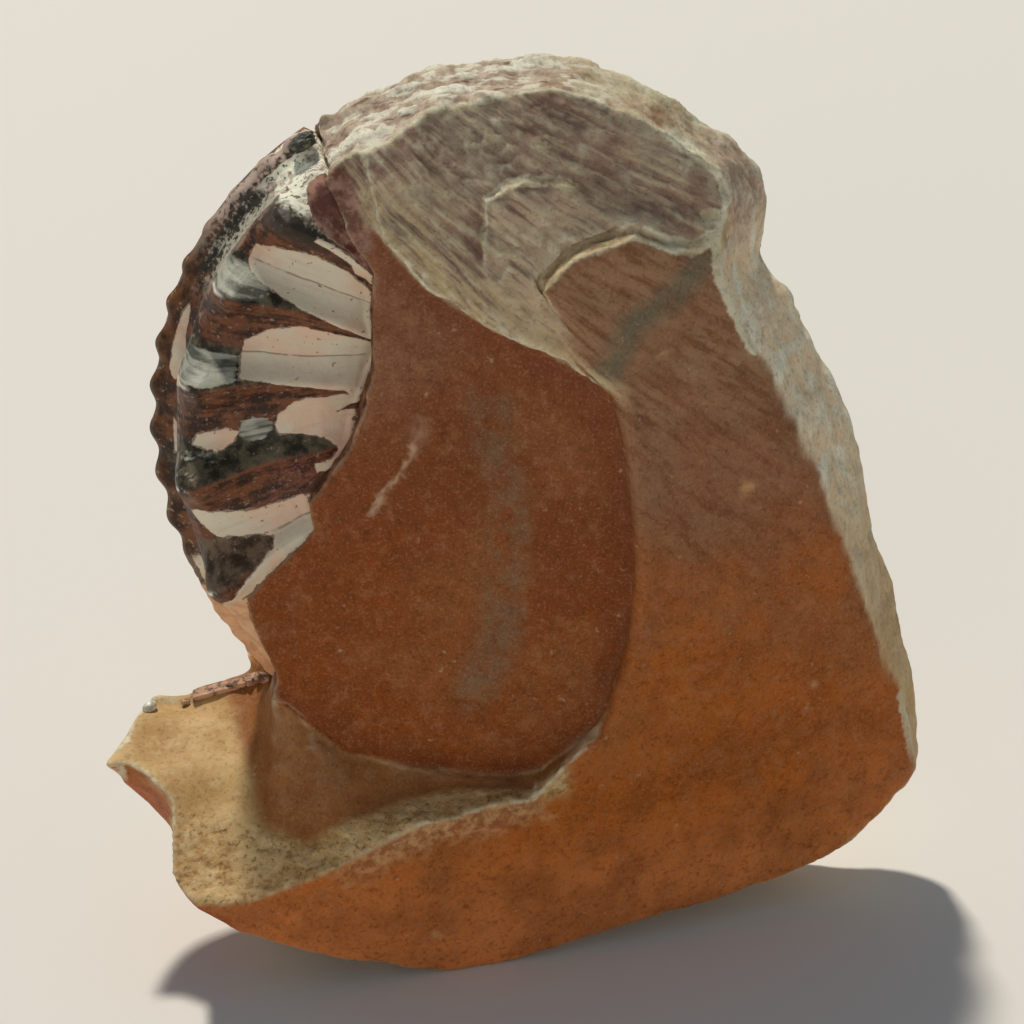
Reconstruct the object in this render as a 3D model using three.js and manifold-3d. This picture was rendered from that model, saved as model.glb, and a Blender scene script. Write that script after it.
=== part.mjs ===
// Ammonite in its stone: a stretch of ribbed, keeled whorl set in a broken nodule of red stone.
// Millimetres, +Z up. The shell is coiled in the XZ plane about the working origin, and its open
// side faces -Y. The last group stands the nodule on Z = 0 under the middle of its box.
import * as THREE from "three";
import { mergeVertices } from "three/addons/utils/BufferGeometryUtils.js";
import Module from "manifold-3d";

// Shell: a logarithmic coil, with a section that is true to size where the keel points straight left.
const KEEL_RADIUS = 37.5;
const GROWTH = 0.197; // the coil grows by e^GROWTH in one radian
const WHORL_START = 138.3; // degrees, turning from +X towards +Z
const FIRST_RIB = 145;
const RIB_PITCH = 16.9; // degrees from rib to rib
const RIB_COUNT = 5;
const STEPS_PER_RIB = 10;
const WHORL_STEPS = 58;
const BEADS_PER_RIB = 2.5;
const BEAD_HEIGHT = 0.35;
const SHELL_BACK = 2.2; // Y of its buried side
const CLEARANCE = 0.3; // between the shell and the pocket it sits in

// Stone: where its outline is drawn together, how far it reaches back, and its resting plane.
const FRONT_CENTRE = new THREE.Vector2(-7, -36);
const BACK_CENTRE = new THREE.Vector2(-4, -32);
const BACK_REACH = 17;
const BASE_LEVEL = -62;
const RIM_SAMPLES = 3; // points of the skin for each station of the outline
const AIR = -50; // Y of a plane well in front of the stone
const LEFT_AIR = -60; // X of a plane well to the left of it
const PATCH_CENTRE = new THREE.Vector2(-8, -10); // of the round patches of surface that cut it
const PATCH_RADIUS = 60;
const PATCH_SIDES = 24;
const PATCH_RINGS = [1, 0.7, 0.35]; // shares of the radius

const wasm = await Module();
wasm.setup();

const rad = THREE.MathUtils.degToRad;

// ---- closed meshes and solids ----

function centroid(ring) {
  return ring.reduce((sum, p) => sum.add(p), new THREE.Vector3()).divideScalar(ring.length);
}

// Skin over a run of rings with equal point counts, drawn to a point at each end. Each ring turns
// counter-clockwise for an eye that looks from the first ring to the last.
function skin(start, rings, end) {
  const count = rings[0].length;
  const corner = (ring, i) => 1 + ring * count + (i % count);
  const last = 1 + rings.length * count;
  const index = [];
  for (let i = 0; i < count; i++) {
    index.push(0, corner(0, i), corner(0, i + 1));
    for (let k = 1; k < rings.length; k++) {
      index.push(corner(k - 1, i), corner(k, i), corner(k, i + 1));
      index.push(corner(k - 1, i), corner(k, i + 1), corner(k - 1, i + 1));
    }
    index.push(last, corner(rings.length - 1, i + 1), corner(rings.length - 1, i));
  }
  const geometry = new THREE.BufferGeometry().setFromPoints([start, ...rings.flat(), end]);
  geometry.setIndex(index);
  return geometry;
}

function solidOf(geometry) {
  const bare = new THREE.BufferGeometry().setAttribute("position", geometry.getAttribute("position"));
  bare.setIndex(geometry.index);
  const merged = mergeVertices(bare, 1e-4);
  return new wasm.Manifold(
    new wasm.Mesh({
      numProp: 3,
      vertProperties: new Float32Array(merged.getAttribute("position").array),
      triVerts: new Uint32Array(merged.index.array),
    }),
  );
}

function geometryOf(solid) {
  const { vertProperties, triVerts } = solid.getMesh();
  const geometry = new THREE.BufferGeometry();
  geometry.setAttribute("position", new THREE.BufferAttribute(vertProperties, 3));
  geometry.setIndex(new THREE.BufferAttribute(triVerts, 1));
  const facets = geometry.toNonIndexed();
  facets.computeVertexNormals();
  return facets;
}

// A prism along Y over an outline of [x, z] points, from the air in front to the given depth.
function prism(outline, depth) {
  const shape = new THREE.Shape(outline.map(([x, z]) => new THREE.Vector2(x, z)));
  const geometry = new THREE.ExtrudeGeometry(shape, { depth: depth - AIR, bevelEnabled: false });
  geometry.rotateX(Math.PI / 2);
  geometry.translate(0, depth, 0);
  return solidOf(geometry);
}

// All that lies in front of a surface, over a wide round patch. face(x, z) is the surface's Y.
function inFrontOf(face) {
  const ring = (share, level) =>
    Array.from({ length: PATCH_SIDES }, (_, i) => {
      const turn = (2 * Math.PI * i) / PATCH_SIDES;
      const x = PATCH_CENTRE.x + share * PATCH_RADIUS * Math.cos(turn);
      const z = PATCH_CENTRE.y + share * PATCH_RADIUS * Math.sin(turn);
      return new THREE.Vector3(x, level ?? face(x, z), z);
    });
  const middle = (level) => new THREE.Vector3(PATCH_CENTRE.x, level, PATCH_CENTRE.y);
  const rings = [ring(1, AIR), ...PATCH_RINGS.map((share) => ring(share))];
  return solidOf(skin(middle(AIR), rings, middle(face(PATCH_CENTRE.x, PATCH_CENTRE.y))));
}

// ---- ammonite shell ----

const keelRadius = (turn) => KEEL_RADIUS * Math.exp(GROWTH * (rad(turn) - Math.PI));

function onCoil(turn, radius, y) {
  return new THREE.Vector3(radius * Math.cos(rad(turn)), y, radius * Math.sin(rad(turn)));
}

// Section from the keel over the open flank to the inner edge, and back along the buried side:
// radius and depth at full size, then how far a rib and a tubercle stand out there.
const SECTION = [
  [KEEL_RADIUS, 0, 0, 0],
  [37.1, -0.9, 0, 0],
  [35.5, -1.7, 0, 0],
  [34.7, -3.2, 0, 0],
  [34.9, -5.2, 0.4, 0.3],
  [34.0, -6.7, 0.9, 1.1],
  [32.4, -7.4, 1.2, 1.5],
  [30.4, -7.6, 1.3, 0.5],
  [27.5, -7.6, 1.1, 0],
  [24.5, -7.4, 0.9, 0],
  [21.5, -7.0, 0.7, 0],
  [18.5, -6.0, 0.4, 0],
  [16.0, -4.2, 0, 0],
  [15.2, -1.0, 0, 0],
  [15.4, SHELL_BACK, 0, 0],
  [35.2, SHELL_BACK, 0, 0],
  [37.0, 1.0, 0, 0],
];
const RIB_WIDTH = 0.26; // half-widths, as a share of the rib pitch
const TUBERCLE_WIDTH = 0.2;
const TUBERCLE_LEAN = 0.35; // share of a tubercle's height that points outwards

function hump(distance, width) {
  return Math.exp(-((distance / width) ** 2));
}

function whorlRing(turn) {
  const size = keelRadius(turn) / KEEL_RADIUS;
  const thickness = Math.sqrt(size);
  const place = (turn - FIRST_RIB) / RIB_PITCH;
  const nearest = THREE.MathUtils.clamp(Math.round(place), 0, RIB_COUNT - 1);
  const bead = BEAD_HEIGHT * Math.cos(2 * Math.PI * BEADS_PER_RIB * place);
  return SECTION.map(([radius, y, rib, tubercle], i) => {
    const spike = tubercle * hump(place - nearest, TUBERCLE_WIDTH);
    const relief = rib * hump(place - nearest, RIB_WIDTH) + spike;
    const keel = i < 2 || i === SECTION.length - 1 ? bead : 0;
    return onCoil(turn, radius * size + keel + TUBERCLE_LEAN * spike, y * thickness - relief);
  });
}

function whorlGeometry() {
  const rings = [];
  for (let step = 0; step <= WHORL_STEPS; step++) {
    rings.push(whorlRing(WHORL_START + (step * RIB_PITCH) / STEPS_PER_RIB));
  }
  return skin(centroid(rings[0]), rings, centroid(rings[WHORL_STEPS]));
}

// The pocket is the shell's own form, grown by the clearance along its normals.
function pocketGeometry() {
  const geometry = whorlGeometry();
  geometry.computeVertexNormals();
  const position = geometry.getAttribute("position");
  const normal = geometry.getAttribute("normal");
  for (let i = 0; i < position.count; i++) {
    const grown = new THREE.Vector3().fromBufferAttribute(normal, i).multiplyScalar(CLEARANCE);
    grown.add(new THREE.Vector3().fromBufferAttribute(position, i));
    position.setXYZ(i, grown.x, grown.y, grown.z);
  }
  return geometry;
}

// ---- stone matrix ----

// The broad faces of the stone, each as Y over X and Z: its depth and slope at one point [x, z],
// and how it swells around that point. A smaller number swells more, and a negative one faces back.
const surface = ({ at: [x0, z0], depth, slope: [slopeX, slopeZ], swell }) => (x, z) =>
  depth + slopeX * (x - x0) + slopeZ * (z - z0) + ((x - x0) ** 2 + (z - z0) ** 2) / swell;

// The big broken face on the front right, the back, and the smooth disc that fills the coil.
const frontFace = surface({ at: [8, -18], depth: -11.1, slope: [0.36, 0], swell: 400 });
const backFace = surface({ at: [-3, -18], depth: BACK_REACH, slope: [0, 0], swell: -500 });
const discFace = surface({ at: [-8, -12], depth: -10.2, slope: [0, 0], swell: 800 });

// The upper break slopes back to the crown. A shallow flake stands proud of it.
const upperBreak = surface({ at: [-15.7, 16], depth: -10, slope: [0.19, 0.25], swell: Infinity });
const FLAKE_RISE = 0.8;
const flakeFace = (x, z) => upperBreak(x, z) - FLAKE_RISE;

// Stations around the nodule, counter-clockwise from the top. Each has a point of the edge where
// the front face ends, [x, z] or [x, y, z], and a point of the rim where the back begins.
const BESIDE_WHORL = { turns: [138, 148, 158, 170, 182, 194, 206, 217, 226], edge: 0.9, rim: 0.95 };
const besideWhorl = (turn) => [
  onCoil(turn, BESIDE_WHORL.edge * keelRadius(turn), -11).toArray(),
  onCoil(turn, BESIDE_WHORL.rim * keelRadius(turn), SHELL_BACK + CLEARANCE).toArray(),
];
const STATIONS = [
  // crown
  [[0.5, 25.5], [-1, 3, 28.8]],
  [[-4, 25], [-4.6, 3, 28.3]],
  [[-7, 24], [-8, 2.6, 27.9]],
  [[-10.5, 23], [-11.5, 2.2, 27.6]],
  [[-14.5, 21], [-16, 1.5, 25.6]],
  [[-17, 19.5], [-19.3, 1, 24.5]],
  [[-19, 17.5], [-22.5, 0.8, 23.2]],
  ...BESIDE_WHORL.turns.map(besideWhorl),
  // notch under the end of the whorl, then the back edge and tip of the ledge
  [[-28, -36], [-29.5, 2.5, -35.8]],
  [[-33, -39.5], [-35, 3.5, -37.4]],
  [[-37.5, -40.5], [-39.5, 1.5, -38.9]],
  [[-42.5, -5.5, -40.7], [-41.7, -2.5, -40.4]],
  [[-43.6, -7.3, -41], [-43, -4.6, -42.8]],
  [[-41.2, -7.2, -40.9], [-41.9, -4.4, -45.3]],
  [[-38.4, -9.2, -42], [-39.5, -4.5, -47.4]],
  [[-36.9, -10.4, -43.3], [-37.7, -5, -49.2]],
  [[-36.8, -15, -46.4], [-37, -5.5, -50.4]],
  [[-36.5, -18, -48], [-36.6, -6, -52]],
  // underside
  [[-34, -18.8, -50.8], [-34, -5, -55]],
  [[-29.3, -54.1], [-29, -2, -59.5]],
  [[-25.5, -56.2], [-24, 0, -62.5]],
  [[-17, -59.6], [-16, 3, -64.5]],
  [[-10, -62], [-9, 4, -65]],
  [[-2.7, -61.6], [-2, 5, -65]],
  [[5, -60.1], [5, 6, -64.5]],
  [[14.7, -58.9], [14.5, 8, -63]],
  [[21.8, -57.9], [21.5, 9, -61]],
  [[29.3, -55.2], [29, 10.5, -57]],
  // lower right corner and the right side, up to the waist and the shoulder
  [[33.5, -51.9], [33.5, 11, -53]],
  [[36, -49], [36.5, 9.5, -50.6]],
  [[36.1, -46], [36.8, 9, -48]],
  [[34.6, -39.2], [36.6, 8, -43]],
  [[31, -28.9], [35, 8.5, -34]],
  [[27.9, -19.2], [32, 8.5, -24]],
  [[23.2, -6.6], [29.3, 7.3, -10.8]],
  [[20, 0], [25.7, 5.5, -3.2]],
  [[17.7, 4.4], [22.7, 4.5, 3.6]],
  [[14.7, 12.6], [19.8, 4, 8]],
  [[15.3, 16.5], [20, 4, 13]],
  [[14.6, 19.5], [18, 4, 18.4]],
  [[12.3, 21], [13.5, 3.5, 22]],
  [[8.5, 23.5], [8, 3, 25.7]],
  [[4.5, 25.2], [3.7, 3, 27.6]],
];

// Rings of the front face and of the rounded back, as shares of the way out from their centres.
const FRONT_RINGS = [0.3, 0.6, 0.85];
const BACK_RINGS = [0.97, 0.9, 0.78, 0.6, 0.3];
const BACK_SOFTENING = 90; // rounds of smoothing that the outline would get on its way to the middle

function throughStations(points) {
  const curve = new THREE.CatmullRomCurve3(points, true, "centripetal");
  const count = points.length * RIM_SAMPLES;
  return Array.from({ length: count }, (_, i) => curve.getPoint(i / count));
}

// A closed line, evened out by moving each point halfway to its neighbours' middle, again and again.
function softened(line, rounds) {
  let soft = line;
  for (let n = 0; n < rounds; n++) {
    const old = soft;
    soft = old.map((p, i) => {
      const around = old.at(i - 1).clone().add(old[(i + 1) % old.length]).divideScalar(2);
      return around.lerp(p, 0.5);
    });
  }
  return soft;
}

function noduleGeometry() {
  const edge = throughStations(
    STATIONS.map(([p]) =>
      p.length === 3 ? new THREE.Vector3(...p) : new THREE.Vector3(p[0], frontFace(...p), p[1]),
    ),
  );
  const rim = throughStations(STATIONS.map(([, p]) => new THREE.Vector3(...p)));
  const front = FRONT_RINGS.map((share) =>
    edge.map((p) => {
      const q = new THREE.Vector2(p.x, p.z).lerp(FRONT_CENTRE, 1 - share);
      return new THREE.Vector3(q.x, frontFace(q.x, q.y), q.y);
    }),
  );
  const back = BACK_RINGS.map((share) =>
    softened(rim, BACK_SOFTENING * (1 - share)).map((p) => {
      const q = new THREE.Vector2(p.x, p.z).lerp(BACK_CENTRE, 1 - share);
      const rounded = Math.sqrt(1 - share ** 2);
      return new THREE.Vector3(q.x, THREE.MathUtils.lerp(p.y, backFace(q.x, q.y), rounded), q.y);
    }),
  );
  const centreOf = (c, face) => new THREE.Vector3(c.x, face(c.x, c.y), c.y);
  return skin(
    centreOf(FRONT_CENTRE, frontFace),
    [...front, edge, rim, ...back],
    centreOf(BACK_CENTRE, backFace),
  );
}

// Outlines of the cuts in the front, [x, z]. The disc lies a step below the front face.
const DISC_BACK = 0; // Y behind every point of it
const DISC_LEFT = [
  [-22, 20.6], [-19.5, 16], [-16.8, 12], [-17, 1.1], [-19.1, -6], [-22.9, -11.3],
  [-22.8, -14.4], [-28.9, -21.6], [-26.7, -31], [-27.2, -34.5],
];
const DISC_OUTLINE = [
  [-23.5, 22], [-24, 10], [-30, -10], [-33, -25], [-28, -33], [-24.4, -35.6], [-20.1, -39],
  [-12, -40.9], [-4, -41.5], [-1.3, -40.8], [4.5, -35.6], [6.8, -26.6], [7.6, -20], [7.3, -13.4], [6.2, -4],
  [5.3, 0], [-1, 4.4], [-7, 7.6], [-11.9, 10.6], [-15.8, 15.6], [-17.7, 21.2], [-19, 22.5],
];

// The foot of the upper break lies inside the disc's outline, where the disc is the deeper.
const BREAK_BACK = 10; // Y behind every point of it
const BREAK_CROWN = [[26, 15], [26, 36], [-18, 36]];
const BREAK_FOOT = [[-18.5, 22], [-14.5, 8], [0, -2]];
const FRONT_FACE_TOP = [
  [5.3, 0], [1.6, 6.2], [-1.4, 11.1], [1.3, 13.8], [7.2, 15.2], [12.4, 13.1], [15, 14.2],
];
const FLAKE_TOP = [[-6.5, 6], [-6.5, 18.8], [-4.2, 20], [0.4, 19.8], [4, 18.5], [10, 15.6], [15, 15.5]];

// The shell is laid open in front of this plane, left of the disc.
const OPENED_DEPTH = SHELL_BACK + CLEARANCE;
const OPENED_OUTSIDE = [[-28.5, -37.3], [-35, -39.5], [LEFT_AIR, -40.5], [LEFT_AIR, 32], [-35, 31.5]];

// The ledge is the mould of the next stretch of whorl: sections of the ground that it leaves,
// [x, then y and z of its upper edge, of its hollow and of its outer edge].
const LEDGE = [
  [-48, 0, -39.6, -7, -41.2, -12, -43],
  [-40, 1.5, -38.9, -8, -41.5, -17, -47],
  [-35, 3.5, -37.6, -8, -42.3, -19.2, -50.5],
  [-29.2, 2.5, -36, -8.5, -42.5, -18.5, -50],
  [-27.1, -7.4, -33, -11, -43.5, -18.3, -49.5],
  [-24.4, -7.8, -34.8, -14, -46, -18, -48.5],
  [-20, -8, -38.4, -13.5, -43.5, -17.5, -46.5],
  [-12, -9.6, -40.8, -10.6, -41.9, -15.8, -42.8],
  [-2, -9.6, -41.1, -10.4, -41.6, -14, -41.4],
];
const LEDGE_HEADROOM = 1.2; // how far the cut rises on its way to the air in front

function ledgeTool() {
  const sections = LEDGE.map(([x, y0, z0, y1, z1, y2, z2]) => [
    new THREE.Vector3(x, y0, z0),
    new THREE.Vector3(x, y1, z1),
    new THREE.Vector3(x, y2, z2),
    new THREE.Vector3(x, AIR, z2),
    new THREE.Vector3(x, AIR, z0 + LEDGE_HEADROOM),
  ]);
  return solidOf(skin(centroid(sections[0]), sections, centroid(sections.at(-1))));
}

// Behind the notch the stone falls away steeply, out of the ledge's back edge.
const NOTCH = [[-29.3, -35.3], [-36, -20], [LEFT_AIR, -20], [LEFT_AIR, -39.8], [-35, -37.1]];
const NOTCH_FALL = 0.62; // drop for each millimetre back
const NOTCH_REACH = 30;

function notchTool() {
  const ring = (y) => NOTCH.map(([x, z]) => new THREE.Vector3(x, y, z - NOTCH_FALL * y));
  const mouth = ring(0);
  const far = ring(NOTCH_REACH);
  return solidOf(skin(centroid(mouth), [mouth, far], centroid(far)));
}

// Flat faces of the stone, each by a point on it and the way it looks out: the base that it rests
// on, and two old breaks on the back.
const FLAT_FACES = [
  { point: [0, 0, BASE_LEVEL], outward: [0, 0, -1] },
  { point: [-8, 12.6, 4], outward: [-0.2, 0.93, 0.3] },
  { point: [8, 15.3, -44], outward: [0.05, 0.92, -0.3] },
];
const BLOCK_SIZE = 150;

function blockOutside({ point, outward }) {
  const block = new THREE.BoxGeometry(BLOCK_SIZE, BLOCK_SIZE, BLOCK_SIZE);
  block.translate(0, 0, BLOCK_SIZE / 2);
  const up = new THREE.Vector3(0, 0, 1);
  const facing = new THREE.Vector3(...outward).normalize();
  block.applyQuaternion(new THREE.Quaternion().setFromUnitVectors(up, facing));
  block.translate(...point);
  return solidOf(block);
}

function stoneGeometry() {
  const upToFrontFace = [...BREAK_FOOT, ...FRONT_FACE_TOP, ...BREAK_CROWN];
  const upToFlake = [...BREAK_FOOT.slice(0, 2), ...FLAKE_TOP, ...BREAK_CROWN];
  const cuts = [
    prism(DISC_OUTLINE, DISC_BACK).intersect(inFrontOf(discFace)),
    prism(upToFrontFace, BREAK_BACK).intersect(inFrontOf(flakeFace)),
    prism(upToFlake, BREAK_BACK).intersect(inFrontOf(upperBreak)),
    prism([...DISC_LEFT, ...OPENED_OUTSIDE], OPENED_DEPTH),
    ledgeTool(),
    notchTool(),
    ...FLAT_FACES.map(blockOutside),
    solidOf(pocketGeometry()),
  ];
  return geometryOf(cuts.reduce((stone, cut) => stone.subtract(cut), solidOf(noduleGeometry())));
}

// ---- the specimen ----

function namedMesh(name, geometry, color, roughness) {
  const material = new THREE.MeshStandardMaterial({ color, roughness, metalness: 0 });
  const mesh = new THREE.Mesh(geometry, material);
  mesh.name = name;
  return mesh;
}

const specimen = new THREE.Group();
specimen.add(namedMesh("stone_matrix", stoneGeometry(), 0x8f5632, 0.55));
specimen.add(namedMesh("ammonite_shell", geometryOf(solidOf(whorlGeometry())), 0x8d8378, 0.4));

const box = new THREE.Box3().setFromObject(specimen);
const middle = box.getCenter(new THREE.Vector3());
specimen.position.set(-middle.x, -middle.y, -box.min.z);

const part = new THREE.Group();
part.add(specimen);
export default part;
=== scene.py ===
import math

import bmesh
import bpy
import numpy as np
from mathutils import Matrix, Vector
from mathutils.kdtree import KDTree


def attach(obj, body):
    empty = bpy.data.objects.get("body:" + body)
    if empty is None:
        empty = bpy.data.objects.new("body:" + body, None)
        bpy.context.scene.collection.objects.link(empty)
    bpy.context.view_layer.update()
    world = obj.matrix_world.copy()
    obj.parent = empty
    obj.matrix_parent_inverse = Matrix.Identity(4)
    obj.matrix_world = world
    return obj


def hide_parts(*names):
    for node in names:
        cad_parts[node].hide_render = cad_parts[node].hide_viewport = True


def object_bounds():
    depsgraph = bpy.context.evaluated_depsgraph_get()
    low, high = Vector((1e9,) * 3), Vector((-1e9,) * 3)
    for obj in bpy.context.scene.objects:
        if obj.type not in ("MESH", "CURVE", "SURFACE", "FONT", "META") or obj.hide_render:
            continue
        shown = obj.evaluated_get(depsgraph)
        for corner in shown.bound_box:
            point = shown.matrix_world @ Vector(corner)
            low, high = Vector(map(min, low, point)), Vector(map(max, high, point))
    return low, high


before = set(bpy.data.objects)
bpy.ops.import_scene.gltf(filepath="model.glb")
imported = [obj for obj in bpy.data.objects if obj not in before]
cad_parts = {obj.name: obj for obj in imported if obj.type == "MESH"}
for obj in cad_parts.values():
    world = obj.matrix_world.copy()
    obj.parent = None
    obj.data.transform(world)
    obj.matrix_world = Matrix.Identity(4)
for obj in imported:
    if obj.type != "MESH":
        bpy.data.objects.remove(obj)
cad_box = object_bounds()


# ---- the nodule ----
# A nodule of hard, fine-grained stone that grew round the shell. A blow took off its front: the
# smooth disc is the fill of the coil, the ledge is the mould that the next stretch of whorl left,
# and the face on the right and the rough one above them are plain breaks. All in one piece.

MM = 0.001  # metres
TO_MM = 1000
COIL = cad_box[0] + Vector((0.04353, 0.01885, 0.062))  # middle of the coil, from the low corner
GRAIN = 0.3  # mm between the points of its skin
SKIN_KEPT = 0.42  # the share of its faces that is left once it has its form
SHARP = 33  # degrees between two faces that meet in a real edge
CROWN_RADIUS = 28.5  # mm from the middle of the coil to the flakes on the crown


def ramp(value, low, high):
    """0 below low, 1 above high, and an eased rise between them."""
    share = np.clip((value - low) / (high - low), 0, 1)
    return share * share * (3 - 2 * share)


def lumps(points, size, seed):
    """Smooth noise of about -1 to 1, in lumps of a size in mm, or of a size along x, y and z."""
    rng = np.random.default_rng(seed)
    slopes = rng.normal(size=(256, 3))
    slopes /= np.linalg.norm(slopes, axis=1)[:, None]
    order = np.tile(rng.permutation(256), 3)
    place = points / np.asarray(size, float) + 100
    cell = np.floor(place).astype(int)
    inside = place - cell
    ease = inside**3 * (inside * (inside * 6 - 15) + 10)
    cell &= 255
    total = np.zeros(len(points))
    for corner in np.ndindex(2, 2, 2):
        at = cell + corner
        slope = slopes[order[order[order[at[:, 0]] + at[:, 1]] + at[:, 2]]]
        share = np.prod(np.where(corner, ease, 1 - ease), axis=1)
        total += share * ((inside - corner) * slope).sum(1)
    return 1.6 * total


def crumble(points, size, seed, octaves=4):
    """Rough noise: lumps of a size, with smaller ones on them."""
    steps = range(octaves)
    return sum(lumps(points, np.asarray(size, float) / 2**k, seed + k) / 2**k for k in steps) / 1.6


def relaxed(points, pairs, share, rounds):
    """Moves each point by its share of the way to the middle of its neighbours, in rounds."""
    count = np.bincount(pairs.ravel(), minlength=len(points))
    for _ in range(rounds):
        around = np.stack(
            [
                np.bincount(pairs[:, 0], column[pairs[:, 1]], len(points))
                + np.bincount(pairs[:, 1], column[pairs[:, 0]], len(points))
                for column in points.T
            ],
            axis=1,
        )
        points = points + share[:, None] * (around / count[:, None] - points)
    return points


def column_of(collection, name, width, kind=np.float32):
    """What a mesh holds of its points or edges under a name, a row for each."""
    values = np.empty(len(collection) * width, kind)
    collection.foreach_get(name, values)
    return values.reshape(-1, width)


def place_points(mesh, points):
    """Moves a mesh's points to places in mm from the middle of the coil."""
    places = points * MM + np.array(COIL)
    mesh.vertices.foreach_set("co", places.astype(np.float32).ravel())
    mesh.update()


def points_of(mesh):
    """The places of a mesh's points in mm from the middle of the coil."""
    return (column_of(mesh.vertices, "co", 3).astype(float) - np.array(COIL)) * TO_MM


def normals_of(mesh):
    """The way that the skin faces at each of a mesh's points."""
    return column_of(mesh.vertices, "normal", 3).astype(float)


def set_mask(mesh, name, values):
    """Keeps a value for each point of a mesh, for its material to read."""
    layer = mesh.attributes.new(name, "FLOAT", "POINT")
    layer.data.foreach_set("value", values.astype(np.float32))


def off_path(path, at):
    """How far points lie from a path."""
    nearest = np.full(at.shape[:-1], np.inf)
    for a, b in zip(path[:-1], path[1:]):
        along = np.clip(((at - a) @ (b - a)) / ((b - a) @ (b - a)), 0, 1)
        nearest = np.minimum(nearest, np.linalg.norm(at - a - along[..., None] * (b - a), axis=-1))
    return nearest


def within(outline, at, scale=(1, 1)):
    """How far inside an outline points lie. It is negative outside."""
    ring = np.array([*outline, outline[0]]) * scale
    at = at * np.array(scale)
    inside = np.zeros(at.shape[:-1], bool)
    for a, b in zip(ring[:-1], ring[1:]):
        crosses = (a[1] > at[..., 1]) != (b[1] > at[..., 1])
        slope = (b[0] - a[0]) / (b[1] - a[1] + 1e-12)
        inside ^= crosses & (at[..., 0] < a[0] + slope * (at[..., 1] - a[1]))
    return np.where(inside, 1, -1) * off_path(ring, at)


def tree_of(points):
    """A tree of points, to find the nearest one in."""
    tree = KDTree(len(points))
    for k, point in enumerate(points):
        tree.insert(point, k)
    tree.balance()
    return tree


def add_piece(name, mesh):
    """Puts a mesh into the scene as a piece of its own."""
    piece = bpy.data.objects.new(name, mesh)
    bpy.context.scene.collection.objects.link(piece)
    return piece


def shade_smooth(mesh):
    mesh.polygons.foreach_set("use_smooth", np.ones(len(mesh.polygons), bool))


def reshaped(mesh, kind, **settings):
    """The mesh that one modifier makes of another mesh."""
    in_work = add_piece("in_work", mesh)
    modifier = in_work.modifiers.new("reshape", kind)
    for name, value in settings.items():
        setattr(modifier, name, value)
    made = in_work.evaluated_get(bpy.context.evaluated_depsgraph_get())
    made = bpy.data.meshes.new_from_object(made)
    bpy.data.objects.remove(in_work)
    return made


# The form that it was cut to, in an even skin.
cut_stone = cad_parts["stone_matrix"]
stone_mesh = reshaped(cut_stone.data.copy(), "REMESH", mode="VOXEL", voxel_size=GRAIN * MM)

# The outlines of its faces, over x and z.
DISC_TOP = [(-36, 22), (-25, 19), (-21.7, 18.3)]
DISC_BORDER = [(-15.8, 15.6), (-11.9, 10.6), (-7, 7.6), (-1, 4.4), (5.3, 0), (6.2, -4)]
DISC_BORDER += [(7.3, -13.4)]
DISC_FOOT = [(7.6, -20), (6.8, -26.6), (4.5, -35.6), (-1.3, -40.8), (-4, -41.5), (-12, -40.9)]
DISC_FOOT += [(-20.1, -39), (-24.4, -35.6), (-28, -33), (-36, -25)]
DISC = DISC_TOP + DISC_BORDER + DISC_FOOT
FACE_RIDGE = [(1.6, 6.2), (-1.4, 11.1), (1.3, 13.8), (7.2, 15.2), (12.4, 13.1), (15, 14.2)]
FLAKE_EDGE = [(-6.5, 13), (-6.5, 18.8), (-4.2, 20), (0.4, 19.8)]
BREAK_TOP = [(15, 13.8), (17, 14.5), (20, 22), (8, 33), (-12, 33), (-24, 26)]
# Where the crown's edge runs: x, its height, and how far the break leans back below it.
CROWN_EDGE = (
    (-23, -21, -19, -12.4, -7, -1, 4, 8, 12),
    (18.5, 19.8, 21.2, 24.2, 25.7, 26.7, 26.3, 24.4, 22),
    (0.4, 1.6, 3, 2.8, 2.6, 1.8, 1.0, 0.3, 0),
)
# The ledge's front rim: x, how far away it lies, and its height.
RIM_X = (-48, -40, -35, -29, -24, -20, -12, -2)
RIM_AWAY = (-12, -17, -19.2, -18.5, -18, -17.5, -15.8, -14)
RIM_HEIGHT = (-43, -47, -50.5, -50, -48.5, -46.5, -42.8, -41.4)
# Where the ledge's rough outer strip begins: x, and how far away.
STRIP_EDGE = ((-48, -35, -29, -27, -24, -20, -12, -2), (-9, -11, -12, -13, -14.5, -14, -11.4, -11))
ON_RIDGE = np.array(FACE_RIDGE[1:])

# Where the cut stone has sharp edges. The rest is faceted only because it was cut, and is rubbed
# down.
edges = bmesh.new()
edges.from_mesh(cut_stone.data)
bmesh.ops.remove_doubles(edges, verts=edges.verts, dist=1e-7)
sharp = []
for edge in edges.edges:
    if len(edge.link_faces) == 2 and edge.calc_face_angle() > math.radians(SHARP):
        a, b = (np.array(v.co - COIL) * TO_MM for v in edge.verts)
        steps = max(2, int(np.linalg.norm(b - a) / 0.4))
        sharp.extend(a + (b - a) * k / steps for k in range(steps + 1))
edges.free()
sharp = np.array(sharp)
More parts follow.
